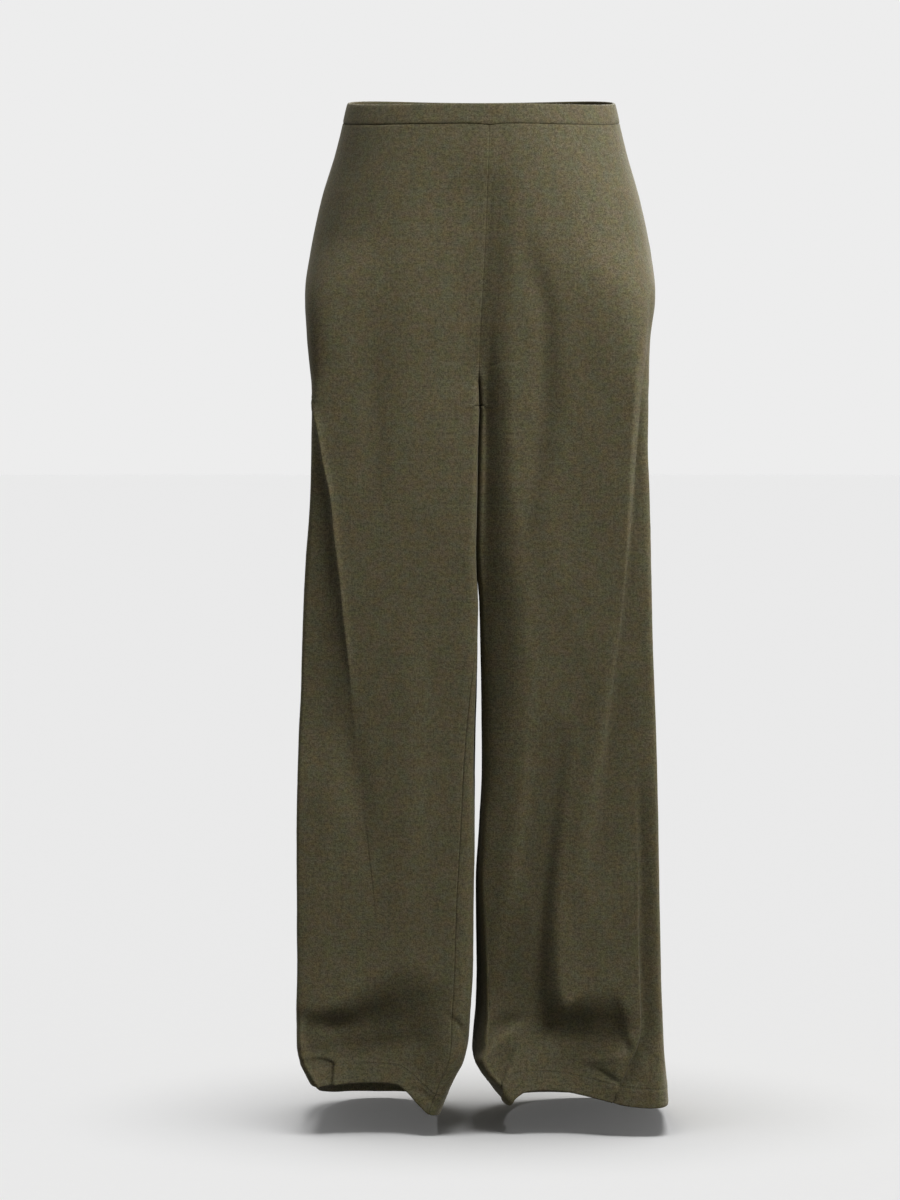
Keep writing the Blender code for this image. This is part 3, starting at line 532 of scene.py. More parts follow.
def arc_at(side, angle, drop):
    degrees = np.degrees(angle)
    return arc(side, np.where(degrees < -90, degrees + 360, degrees), drop)


def across(side, face, angle, drop):
    """Distance along the cloth from a face's upright line."""
    here = arc_at(side, angle, drop)
    if face == "outer":
        return here - arc(side, np.full_like(here, 180.0), drop)
    if face == "inner":
        return arc(side, np.zeros_like(here), drop) - here
    line = arc_at(side, face_angle(side, face, GRAIN_LINE, drop), drop)
    if face == "front":
        return here - line
    # Known fault: twice the outer half is not the leg's whole round, and the centre back edge
    # reads along the inner side. The distance jumps at the back-most line.
    whole = 2 * arc(side, np.full_like(here, 270.0), drop)
    away = line - here
    return away - whole * np.round(away / whole)


# ---- Folds ----------------------------------------------------------------
def fold_profile(kind, distance, deep, near, far):
    """Height of a fold; the distance from its line is positive on the near side."""
    width = np.where(distance > 0, near, far)
    t = distance / width
    if kind == "soft":
        return deep * np.exp(-t * t)
    if kind == "sharp":
        return deep * (1 + 1.5 * t * t) ** -1.5
    if kind == "tuck":
        rolled = np.clip(1 + distance / far, 0, TUCK_ROLL)
        turned = np.clip(1 + distance / far - TUCK_ROLL, 0, TUCK_TURN)
        down = rolled**2 / TUCK_ROLL + 2 * turned - turned**2 / TUCK_TURN
        down /= TUCK_ROLL + TUCK_TURN
        over = TUCK_ROLL + TUCK_TURN - 1
        return -deep * down * np.exp(-((np.maximum(distance - over * far, 0) / near) ** 2))
    if kind in STRAIGHT_BACK:
        past = distance if kind == "slope" else -distance
        room = far if kind == "ledge" else near
        level = np.exp(-((np.maximum(past - room, 0) / room) ** 2))
        if kind == "slope":
            return deep * level * (1 - ease(np.maximum(-past / far, 0) ** SLOPE_BEND))
        if kind == "ledge":
            return deep * level * np.clip(1 + past / near, 0, 1) ** 2
        return deep * level * (1 - np.exp(-np.maximum(past, 0) / far))
    # A step: flat up to its line, then down a slope, and slowly back to the old level.
    if kind == "step_near":
        past, slope, fade = distance, far, near
    else:
        past, slope, fade = -distance, near, far
    share = np.clip(past / slope, 0, 1)
    down = share - STEP_ROUND * np.sin(2 * np.pi * share) / (2 * np.pi)
    return -deep * down * np.exp(-((np.maximum(past - slope, 0) / fade) ** 2))


def fold_path(side, face, rows):
    """The fold's line in the plane of the cloth, as closely spaced points."""
    row = np.array(rows, float)
    row *= MM
    place = row[:, 0]
    if face in ("front", "back"):
        angle = face_angle(side, face, row[:, 0], row[:, 1])
        place = across(side, face, angle, row[:, 1])
    knots = np.column_stack([place, row[:, 1:]])
    step = np.hypot(np.diff(knots[:, 0]), np.diff(knots[:, 1]))
    along = np.concatenate([[0.0], np.cumsum(step)])
    at = np.linspace(0, along[-1], 12 * (len(along) - 1) + 1)
    return np.column_stack([spline(along, knots[:, k], at) for k in range(5)])


def fold_height(side, face, kind, rows, place, drop):
    """Height of one fold at points of the cloth."""
    path = fold_path(side, face, rows)
    room = 3.2 * path[:, 3:].max()
    low = path[:, :2].min(axis=0) - room
    high = path[:, :2].max(axis=0) + room
    near_it = (place > low[0]) & (place < high[0]) & (drop > low[1]) & (drop < high[1])
    height = np.zeros_like(place)
    if not near_it.any():
        return height
    x = place[near_it][:, None]
    y = drop[near_it][:, None]
    step = path[1:, :2] - path[:-1, :2]
    size = (step**2).sum(axis=1)
    dx = x - path[:-1, 0]
    dy = y - path[:-1, 1]
    t = np.clip((dx * step[:, 0] + dy * step[:, 1]) / size, 0, 1)
    gap_x = dx - t * step[:, 0]
    gap_y = dy - t * step[:, 1]
    gap = gap_x**2 + gap_y**2
    best = gap.argmin(axis=1)
    pick = np.arange(len(best))
    distance = np.sqrt(gap[pick, best])
    turning = step[best, 0] * gap_y[pick, best] - step[best, 1] * gap_x[pick, best]
    # The sizes are a mean over the nearby stretch of the path, longer for points further away.
    reach_out = (FOLD_BLEND * MM) ** 2 + (FOLD_WIDEN * distance) ** 2
    weight = np.exp(-(gap - gap[pick, best][:, None]) / reach_out[:, None])
    value = weight @ ((path[1:, 2:] + path[:-1, 2:]) / 2) / weight.sum(axis=1, keepdims=True)
    signed = np.where(turning > 0, distance, -distance)
    height[near_it] = fold_profile(kind, signed, *value.T)
    return height


def crumple(side, place, drop):
    """The cloth's own slight unevenness."""
    seed = 11 if side == "right" else 12
    x = place + 0.5
    height = 0.9 * MM * lattice_noise(seed, x / 0.055, drop / 0.21)
    height += 0.38 * MM * lattice_noise(seed + 10, x / 0.024, drop / 0.095)
    height += 0.13 * MM * lattice_noise(seed + 20, x / 0.013, drop / 0.030)
    height += 0.06 * MM * lattice_noise(seed + 30, x / 0.017, drop / 0.006)
    return height * ease((drop - 0.02) / 0.1)


def folds_at(side, angle, drop):
    """Height of every fold of the leg at these points, and how far it moves them straight back."""
    height = np.zeros_like(drop)
    back = np.zeros_like(drop)
    places = {face: across(side, face, angle, drop) for face in FACES}
    for _, face, kind, rows in FOLDS[side]:
        moved = back if kind in STRAIGHT_BACK else height
        moved += fold_height(side, face, kind, rows, places[face], drop)
    front = arc_at(side, angle, drop)
    whole = arc(side, np.full_like(drop, 270.0), drop) * 2
    # The unevenness is blended with itself towards the back of the leg.
    blend = ease((np.abs(front) / (whole / 2) - 0.85) / 0.15)
    other = crumple(side, np.where(front > 0, front - whole, front + whole), drop)
    height += crumple(side, front, drop) * (1 - blend / 2) + other * blend / 2
    return height, back


def folded(side, angle, drop):
    """The section with its folds pushed along its own normal."""
    out, y = section(side, angle, drop)
    after_out, after_y = section(side, angle + NORMAL_ANGLE, drop)
    before_out, before_y = section(side, angle - NORMAL_ANGLE, drop)
    run_out = after_out - before_out
    run_y = after_y - before_y
    length = np.hypot(run_out, run_y) + 1e-12
    height, back = folds_at(side, angle, drop)
    ahead = ease(-y / (AHEAD_SHARE * curve(DEPTH_COLUMNS, DEPTHS, "front", drop)))
    return out + run_y / length * height, y - run_out / length * height + back * ahead


# ---- Seams ----------------------------------------------------------------
def centre_angle(side, face, drop):
    """Angle of the panel's inner edge: centre seam down to the crotch, inseam below it."""
    t = np.clip((drop - CLEFT) / (CROTCH - CLEFT), 0, 1)
    depth = np.sqrt(1 - t * t)
    name = "inner_front" if face == "front" else "inner_back"
    n = curve(ROUND_COLUMNS, ROUNDS[side], name, drop)
    slant = (np.maximum(depth, 1e-6) ** (-n) - 1) ** (1 / n)
    angle = np.where(t >= 1, 0.0, np.arctan2(1.0, slant))
    inseam = np.radians(curve(SEAM_COLUMNS, SEAMS[side], "inseam", drop))
    return np.where(drop < CROTCH, angle * (1 if face == "front" else -1), inseam)


def side_angle(side, drop):
    return np.radians(curve(SEAM_COLUMNS, SEAMS[side], "sideseam", drop))


def hem_drop(side, angle, drop):
    """The real drop of a point of nominal drop, with the hem line's shape."""
    hem = curve(HEMLINE_COLUMNS, HEMLINES[side], "drop", np.degrees(angle) % 360)
    return drop + (hem - HEM) * ease((drop - HEM_LIFT) / (HEM - HEM_LIFT))


def on_leg(side, angle, drop):
    """Point of the outer surface, before the lean and the rise at the back."""
    low = hem_drop(side, angle, drop)
    out, y = folded(side, angle, low)
    for face in ("front", "back"):
        rows = np.minimum(drop[:, :1], CROTCH - 1e-7)
        edges = []
        for leg in (side, "left" if side == "right" else "right"):
            edge = centre_angle(leg, face, rows)
            edges.append(folded(leg, edge, hem_drop(leg, edge, drop[:, :1])))
        (edge_out, edge_y), (_, other_y) = edges
        near = np.exp(-((np.hypot(out - edge_out, y - edge_y) / JOIN_REACH) ** 2))
        near = near * (np.sin(angle) * (1 if face == "front" else -1) >= 0) * (drop < CROTCH)
        out = out - edge_out * near
        y = y + (other_y - edge_y) / 2 * near
    return np.stack([SIDE_SIGN[side] * out, y, -low], axis=-1)


def settle(points):
    """Leans the centre seams and lifts the waist at the back."""
    drop = -points[..., 2]
    lean = curve(LEAN_COLUMNS, LEANS, "shift", drop) * -points[..., 1] / LEAN_DEPTH
    lean = lean * np.exp(-((points[..., 0] / LEAN_WIDE) ** 2))
    rise = BACK_RISE * ease((points[..., 1] + 0.09) / 0.18) * (1 - ease(drop / 0.26))
    return points + np.stack([lean, np.zeros_like(lean), rise], axis=-1)


# ---- Leg panels -----------------------------------------------------------
def panel_rows():
    """Nominal drops of a panel's rows: finer at the waist seam, the crotch and the hem."""
    fork = np.linspace(0, 1, 19)
    rows = [
        np.array([18.6, 19.4, 20.0, 20.5, 21.1, 22.0, 23.4, 25.4, 28.0]) * MM,
        np.linspace(31 * MM, CLEFT, 73)[:-1],
        CLEFT + (CROTCH - CLEFT) * (0.6 * np.sin(fork * np.pi / 2) + 0.4 * fork),
        np.linspace(CROTCH, BREAKS_FROM, 158)[1:],
        np.linspace(BREAKS_FROM, 1008 * MM, 78)[1:],
        np.array([1010.4, 1012.3, 1013.4, 1014.2, 1015, 1015.8, 1016.7, 1018.4, 1020.8, 1023.6, 1026.4]) * MM,
        np.array([1029.2, 1031.4, 1033.0, 1034.0, 1034.6, 1034.9]) * MM,
    ]
    rows = np.concatenate(rows)
    return rows if len(rows) % 2 else np.append(rows, HEM)


def spread(length, bend, count):
    """Shares of the way along, closer together where the cloth bends."""
    weight = length / length.sum(axis=1, keepdims=True)
    weight = weight + BEND_SHARE * bend / np.maximum(bend.sum(axis=1, keepdims=True), 1e-9)
    for _ in range(8):
        weight[:, 1:-1] = (weight[:, :-2] + 2 * weight[:, 1:-1] + weight[:, 2:]) / 4
    for _ in range(40):
        weight[1:-1] = (weight[:-2] + 2 * weight[1:-1] + weight[2:]) / 4
    total = np.concatenate([np.zeros((len(weight), 1)), np.cumsum(weight, axis=1)], axis=1)
    total /= total[:, -1:]
    even = np.linspace(0, 1, count)
    share = np.linspace(0, 1, total.shape[1])
    return np.array([np.interp(even, row, share) for row in total])


def stations(side, start, end, drop, count, steps_first, steps_last):
    """Angles of part of each row, with the given steps from either end."""
    samples = 321
    share = np.linspace(0, 1, samples)
    angle = start[:, None] + (end - start)[:, None] * share
    low = hem_drop(side, angle, np.repeat(drop[:, None], samples, axis=1))
    out, y = folded(side, angle, low)
    run_out = np.diff(out, axis=1)
    run_y = np.diff(y, axis=1)
    length = np.hypot(run_out, run_y)
    heading = np.unwrap(np.arctan2(run_y, run_out), axis=1)
    bend = np.minimum(np.abs(np.gradient(heading, axis=1)), length / BEND_ROUND)
    total = np.concatenate([np.zeros((len(drop), 1)), np.cumsum(length, axis=1)], axis=1)
    made = []
    middle = spread(length, bend, count - len(steps_first) - len(steps_last) + 2)
    for i in range(len(drop)):
        at = np.interp(middle[i], share, total[i])
        low = steps_first[-1] if len(steps_first) else 0.0
        high = total[i, -1] - (steps_last[-1] if len(steps_last) else 0.0)
        at = low + at / total[i, -1] * (high - low)
        first = steps_first[:-1] if len(steps_first) else []
        last = total[i, -1] - steps_last[:-1][::-1] if len(steps_last) else []
        at = np.concatenate([first, at, last])
        made.append(np.interp(at, total[i], angle[i]))
    return np.array(made)


def grid_normals(side, grid):
    """Outward normals of a grid of points."""
    down = np.gradient(grid, axis=0)
    along = np.gradient(grid, axis=1)
    normal = np.cross(down, along) * SIDE_SIGN[side]
    return normal / np.maximum(np.linalg.norm(normal, axis=-1, keepdims=True), 1e-12)


def seam_height(seed, distance, drop, pucker, signed, groove):
    """A seam's groove, the allowances behind it and its puckers."""
    height = -groove * np.exp(-((distance / GROOVE_WIDE) ** 2))
    height += ALLOWANCE_UP * (1 - ease((distance - ALLOWANCE) / ALLOWANCE_FADE))
    ripple = lattice_noise(seed, drop / 0.0085 + signed * 60, signed / 0.012 + 40)
    slow = 0.6 + 0.4 * lattice_noise(seed + 1, drop / 0.07, np.full_like(signed, 3.5))
    height += pucker * ripple * slow * np.exp(-((distance / PUCKER_WIDE) ** 2))
    return height


def panel_grid(side, face, count):
    """Points, normals and cloth coordinates of a panel's outer surface."""
    drop = panel_rows()
    start = centre_angle(side, face, drop)
    end = side_angle(side, drop) - (0 if face == "front" else 2 * np.pi)
    split = face_angle(side, face, curve(SPLIT_COLUMNS, SPLITS, "out", drop), drop)
    near = round(count * NEAR_SHARE)
    none = EDGE_STEPS[:0]
    angle = np.concatenate(
        [
            stations(side, start, split, drop, near + 1, EDGE_STEPS, none)[:, :-1],
            stations(side, split, end, drop, count - near, none, EDGE_STEPS),
        ],
        axis=1,
    )
    drops = np.repeat(drop[:, None], angle.shape[1], axis=1)
    points = on_leg(side, angle, drops)
    normal = grid_normals(side, points) * (1 if face == "front" else -1)
    low = -points[..., 2]
    place = across(side, face, angle, low)
    inner = np.abs(place - place[:, :1])
    outer = np.abs(place - place[:, -1:])
    sign = 1 if face == "front" else -1
    seed = 40 if side == "right" else 50
    below = ease((drops - 0.30) / 0.05)
    in_pucker = (0.10 + 0.34 * ease((drops - 0.55) / 0.3)) * MM * below + 0.07 * MM * (1 - below)
    out_pucker = (0.12 + 0.36 * ease((drops - 0.6) / 0.3)) * MM
    groove = (0.30 + 0.50 * below) * MM
    height = seam_height(seed, inner, drops, in_pucker, inner * sign, groove)
    height += seam_height(seed + 5, outer, drops, out_pucker, outer * sign, SIDE_GROOVE)
    # The waist seam pulls the cloth in.
    top = drops - BAND_DEEP
    height -= WAIST_PULL * np.exp(-((np.maximum(top, 0) / (0.9 * MM)) ** 2))
    below_band = np.exp(-((top / 0.012) ** 2))
    height += 0.16 * MM * lattice_noise(seed + 8, place / 0.010, top / 0.02) * below_band
    # The hem: turned up once, stitched, with its edge rolled under.
    up = HEM - drops
    height += HEM_UP * (1 - ease((up - HEM_DEEP) / (2.0 * MM)))
    height -= STITCH_SINK * np.exp(-(((up - STITCH_UP) / (0.9 * MM)) ** 2))
    pulls = lattice_noise(seed + 9, place / 0.011, up / 0.03)
    height += STITCH_PULL * pulls * np.exp(-(((up - STITCH_UP) / (7 * MM)) ** 2))
    roll = np.clip(1 - up / HEM_ROLL, 0, 1)
    height += -(CLOTH + HEM_EXTRA) * 0.5 * (1 - np.sqrt(np.maximum(1 - roll**2, 0)))
    points = points + normal * height[..., None]
    if face == "front":
        dip = CENTRE_DIP * np.exp(-((points[..., 0] / DIP_WIDE) ** 2)) * below_band
        points[..., 2] -= dip
    # Above the crotch the panels meet on the middle plane, and lap a hair at the seam.
    away = points[..., 0] * SIDE_SIGN[side]
    above = drops <= CROTCH + 1e-9
    away = np.where(above, np.maximum(away, 0.0), away)
    away[:, 0] = np.where(above[:, 0], -SEAM_LAP, away[:, 0])
    points[..., 0] = away * SIDE_SIGN[side]
    wall = CLOTH + HEM_EXTRA * (1 - ease((up - HEM_DEEP) / (0.8 * MM)))
    both = np.minimum(inner, outer)
    wall = wall + ALLOWANCE_EXTRA * (1 - ease((both - ALLOWANCE) / (0.8 * MM)))
    return points, normal, wall, np.stack([place, -low], axis=-1)


def relief(points, normal, passes=26):
    """How far each point stands above its surroundings."""
    smooth = points.copy()
    for _ in range(passes):
        smooth[1:-1] = (smooth[:-2] + 2 * smooth[1:-1] + smooth[2:]) / 4
        smooth[:, 1:-1] = (smooth[:, :-2] + 2 * smooth[:, 1:-1] + smooth[:, 2:]) / 4
    return ((points - smooth) * normal).sum(axis=-1)


def make_shell(name, outer, inner, cloth, lift, material):
    """One closed cloth: a fine outer grid, and an inner one with every second row and column."""
    rows, columns = outer.shape[:2]
    few_rows, few = inner.shape[:2]
    first = rows * columns
    a = np.arange(first).reshape(rows, columns)
    b = np.arange(few_rows * few).reshape(few_rows, few) + first
    quads = [
        np.stack([a[:-1, :-1], a[1:, :-1], a[1:, 1:], a[:-1, 1:]], axis=-1).reshape(-1, 4),
        np.stack([b[:-1, :-1], b[:-1, 1:], b[1:, 1:], b[1:, :-1]], axis=-1).reshape(-1, 4),
    ]
    rims = []
    loops = ((a[0], b[0], False), (a[-1], b[-1], True), (a[:, 0], b[:, 0], True), (a[:, -1], b[:, -1], False))
    for fine, coarse, flip in loops:
        for k in range(len(coarse) - 1):
            p, q, r = fine[2 * k], fine[2 * k + 1], fine[2 * k + 2]
            s, t = coarse[k], coarse[k + 1]
            for tri in ((p, q, s), (q, t, s), (q, r, t)):
                rims.append(tri[::-1] if flip else tri)
    vertices = np.concatenate([outer.reshape(-1, 3), inner.reshape(-1, 3)])
    coords = np.concatenate([cloth.reshape(-1, 2), cloth[::2, ::2].reshape(-1, 2)])
    lifted = np.concatenate([lift.reshape(-1), np.zeros(few_rows * few)])
    faces = np.concatenate([q.reshape(-1) for q in quads] + [np.array(rims).reshape(-1)])
    totals = np.concatenate([np.full(len(quads[0]) + len(quads[1]), 4), np.full(len(rims), 3)])
    corner = vertices[quads[0][:, :3]]
    centre = vertices.mean(axis=0)
    facing = np.cross(corner[:, 1] - corner[:, 0], corner[:, 2] - corner[:, 0])
    if ((corner[:, 0] - centre) * facing).sum() < 0:
        starts = np.concatenate([[0], np.cumsum(totals)[:-1]])
        faces = np.concatenate([faces[s : s + n][::-1] for s, n in zip(starts, totals)])
    return make_mesh(name, vertices, faces, totals, coords, lifted, material)


def make_mesh(name, vertices, faces, totals, coords, lifted, material):
    mesh = bpy.data.meshes.new(name)
    mesh.vertices.add(len(vertices))
    mesh.vertices.foreach_set("co", np.ascontiguousarray(vertices, np.float32).ravel())
    mesh.loops.add(len(faces))
    mesh.loops.foreach_set("vertex_index", faces.astype(np.int32))
    mesh.polygons.add(len(totals))
    starts = np.concatenate([[0], np.cumsum(totals)[:-1]]).astype(np.int32)
    mesh.polygons.foreach_set("loop_start", starts)
    mesh.update(calc_edges=True)
    mesh.validate()
    mesh.shade_smooth()
    layer = mesh.uv_layers.new(name="cloth")
    layer.data.foreach_set("uv", coords[faces].astype(np.float32).ravel())
    # The "lift" layer holds the relief that the linen material paints as highlight on raised folds and shade
    # in hollows.
    painted_relief_shade_layer = mesh.attributes.new("lift", "FLOAT", "POINT")
    painted_relief_shade_layer.data.foreach_set("value", lifted.astype(np.float32))
    mesh.materials.append(material)
    made = bpy.data.objects.new(name, mesh)
    bpy.context.scene.collection.objects.link(made)
    return made


def hem_stitches(name, points, normal, material):
    """A row of small sewn stitches lying on the cloth's stitch line."""
    drop = panel_rows()
    row = int(np.argmin(np.abs(drop - (HEM - STITCH_UP))))
    line = points[row]
    out = normal[row]
    step = np.linalg.norm(np.diff(line, axis=0), axis=1)
    along = np.concatenate([[0.0], np.cumsum(step)])
    rings = np.array([0.0, 0.12, 0.5, 0.88, 1.0])
    height = np.array([-0.10, 0.16, 0.26, 0.16, -0.10]) * MM
    radius = np.array([0.10, 0.19, 0.20, 0.19, 0.10]) * MM
    turns = np.linspace(0, 2 * np.pi, 6, endpoint=False)
    vertices = []
    faces = []
    for n in range(int((along[-1] - 2 * STITCH_START) / STITCH_PITCH)):
        at = STITCH_START + STITCH_PITCH * n + rings * STITCH_LONG
        centre = np.stack([np.interp(at, along, line[:, k]) for k in range(3)], axis=-1)
        up = np.stack([np.interp(at, along, out[:, k]) for k in range(3)], axis=-1)
        ahead = np.gradient(centre, axis=0)
        ahead /= np.linalg.norm(ahead, axis=1, keepdims=True)
        sideways = np.cross(up, ahead)
        ring = (
            centre[:, None]
            + up[:, None] * (height[:, None] + radius[:, None] * np.cos(turns))[..., None]
            + sideways[:, None] * (radius[:, None] * np.sin(turns))[..., None]
        )
        base = len(vertices)
        vertices.extend(ring.reshape(-1, 3))
        for i in range(len(rings) - 1):
            for j in range(6):
                k = (j + 1) % 6
                faces.append((base + i * 6 + j, base + i * 6 + k, base + i * 6 + 6 + k, base + i * 6 + 6 + j))
        for ring_at, order in ((0, (5, 4, 3, 2, 1, 0)), (24, (0, 1, 2, 3, 4, 5))):
            a = [base + ring_at + k for k in order]
            faces.append((a[0], a[1], a[2], a[3]))
            faces.append((a[0], a[3], a[4], a[5]))
    vertices = np.array(vertices)
    faces = np.array(faces)
    coords = vertices[:, [0, 2]]
    return make_mesh(
        name, vertices, faces.reshape(-1), np.full(len(faces), 4), coords, np.zeros(len(vertices)), material
    )


# ---- Waistband ------------------------------------------------------------
BAND_LOOP_COLUMNS = ("inward", "drop")
BAND_LOOP = [
    (1.30, 20.6), (0.75, 20.35), (0.15, 20.0), (-0.25, 19.2), (-0.42, 17.8), (-0.50, 15.4), (-0.52, 12.4),
    (-0.52, 9.2), (-0.50, 6.0), (-0.46, 3.2), (-0.34, 1.6), (-0.08, 0.6), (0.36, 0.1), (0.90, -0.05),
    (1.44, 0.1), (1.80, 0.6), (1.98, 1.6), (2.02, 3.6), (2.02, 8.0), (2.02, 13.0), (2.02, 18.0),
    (2.04, 21.2), (1.96, 21.9), (1.70, 22.2), (1.46, 21.9), (1.36, 21.2),
]
BAND_COLUMNS = 241


def band_grid(face):
    """Points of half the waistband: rows follow the band's closed cross-section."""
    half = BAND_COLUMNS // 2
    turn_to = 1.0 if face == "front" else -1.0
    angle = np.linspace(np.pi, np.pi / 2, half + 1)[None] * turn_to
    loop = np.array(BAND_LOOP) * MM
    drops = np.repeat(loop[:, 1:], half + 1, axis=1)
    levels = np.clip(drops, 0, None)
    shell = []
    for side in ("right", "left"):
        out, y = section(side, np.repeat(angle, len(loop), axis=0), levels)
        out = out - section(side, np.array([[np.pi / 2 * turn_to]]), levels[:, :1])[0]
        points = np.stack([SIDE_SIGN[side] * out, y, -drops], axis=-1)
        normal = np.gradient(points, axis=1)
        normal = np.stack([normal[..., 1], -normal[..., 0], np.zeros_like(y)], axis=-1)
        normal *= np.sign((normal * points).sum(axis=-1, keepdims=True))
        normal[:, -1] = (0, -turn_to, 0)
        normal /= np.linalg.norm(normal, axis=-1, keepdims=True)
        points[:, -1, 0] = 0
        if side == "left":
            points, normal = points[:, -2::-1], normal[:, -2::-1]
        shell.append((points, normal))
    points = np.concatenate([shell[0][0], shell[1][0]], axis=1)
    normal = np.concatenate([shell[0][1], shell[1][1]], axis=1)
    run = np.linalg.norm(np.diff(points[8], axis=0), axis=1)
    along = np.concatenate([[0.0], np.cumsum(run)])
    along = np.repeat(along[None], len(loop), axis=0)
    deep = np.repeat(loop[:, 1:], along.shape[1], axis=1)
    lift = -np.repeat(loop[:, :1], along.shape[1], axis=1)
    seed = 70 if face == "front" else 75
    wave = 0.30 * MM * lattice_noise(seed, along / 0.045, deep / 0.05)
    wave += 0.12 * MM * lattice_noise(seed + 1, along / 0.012, deep / 0.012)
    edge = np.exp(-(((deep - 0.021) / 0.006) ** 2))
    wave += 0.16 * MM * lattice_noise(seed + 2, along / 0.007, deep / 0.02) * edge
    ends = np.minimum(along, along[:, -1:] - along)
    wave += -0.8 * MM * np.exp(-((ends / (0.8 * MM)) ** 2)) * (lift > -0.9 * MM)
    points = points + normal * (lift + wave)[..., None]
    points[..., 2] += 0.25 * MM * lattice_noise(seed + 3, along / 0.05, np.full_like(along, 2.5))
    if face == "front":
        dip = CENTRE_DIP * np.exp(-((points[..., 0] / DIP_WIDE) ** 2)) * ease((deep - 0.008) / 0.012)
        points[..., 2] -= dip
    coords = np.stack([along, -0.5 - np.cumsum(np.abs(np.gradient(deep, axis=0)), axis=0)], axis=-1)
    return settle(points), coords


def make_band(name, face, material):
    points, coords = band_grid(face)
    rows, columns = points.shape[:2]
    a = np.arange(rows * columns).reshape(rows, columns)
    b = np.roll(a, -1, axis=0)
    quads = np.stack([a[:, :-1], b[:, :-1], b[:, 1:], a[:, 1:]], axis=-1).reshape(-1, 4)
    caps = []
    for column, flip in ((0, False), (columns - 1, True)):
        ring = a[:, column]
        low, high = 0, rows - 1
        while high - low >= 2:
            tri = (ring[low], ring[high], ring[low + 1])
            caps.append(tri[::-1] if flip else tri)
            tri = (ring[low + 1], ring[high], ring[high - 1])
            if low + 1 < high - 1:
                caps.append(tri[::-1] if flip else tri)
            low += 1
            high -= 1
    faces = np.concatenate([quads.reshape(-1), np.array(caps).reshape(-1)])
    totals = np.concatenate([np.full(len(quads), 4), np.full(len(caps), 3)])
    vertices = points.reshape(-1, 3)
    lifted = np.zeros(len(vertices))
    made = make_mesh(name, vertices, faces, totals, coords.reshape(-1, 2), lifted, material)
    work = bmesh.new()
    work.from_mesh(made.data)
    bmesh.ops.recalc_face_normals(work, faces=work.faces)
    work.to_mesh(made.data)
    work.free()
    return made


# ---- Materials ------------------------------------------------------------
class Nodes:
    """Short names for making a material's nodes."""

    def __init__(self, name):
        self.material = bpy.data.materials.new(name)
        self.material.use_nodes = True
        self.tree = self.material.node_tree
        self.shader = self.tree.nodes["Principled BSDF"]

    def link(self, value, socket):
        if isinstance(value, bpy.types.NodeSocket):
            self.tree.links.new(value, socket)
        else:
            socket.default_value = value

    def math(self, operation, first, second=0.0, third=None):
        node = self.tree.nodes.new("ShaderNodeMath")
        node.operation = operation
        self.link(first, node.inputs[0])
        self.link(second, node.inputs[1])
        if third is not None:
            self.link(third, node.inputs[2])
        return node.outputs[0]

    def scaled(self, vector, x, y):
        node = self.tree.nodes.new("ShaderNodeMapping")
        node.vector_type = "POINT"
        self.link(vector, node.inputs["Vector"])
        node.inputs["Scale"].default_value = (x, y, 1.0)
        return node.outputs[0]

    def noise(self, vector, detail=2.0, rough=0.5):
        node = self.tree.nodes.new("ShaderNodeTexNoise")
        node.noise_dimensions = "2D"
        self.link(vector, node.inputs["Vector"])
        node.inputs["Scale"].default_value = 1.0
        node.inputs["Detail"].default_value = detail
        node.inputs["Roughness"].default_value = rough
        return node.outputs["Fac"]

    def spread(self, value, low, high, to_low=0.0, to_high=1.0):
        node = self.tree.nodes.new("ShaderNodeMapRange")
        node.clamp = True
        self.link(value, node.inputs["Value"])
        node.inputs["From Min"].default_value = low
        node.inputs["From Max"].default_value = high
        node.inputs["To Min"].default_value = to_low
        node.inputs["To Max"].default_value = to_high
        return node.outputs["Result"]

    def mix(self, factor, first, second, blend="MIX"):
        node = self.tree.nodes.new("ShaderNodeMix")
        node.data_type = "RGBA"
        node.blend_type = blend
        self.link(factor, node.inputs[0])
        self.link(first, node.inputs[6])
        self.link(second, node.inputs[7])
        return node.outputs[2]

    def bump(self, height, distance, strength=1.0):
        node = self.tree.nodes.new("ShaderNodeBump")
        node.inputs["Strength"].default_value = strength
        node.inputs["Distance"].default_value = distance
        self.link(height, node.inputs["Height"])
        return node.outputs[0]


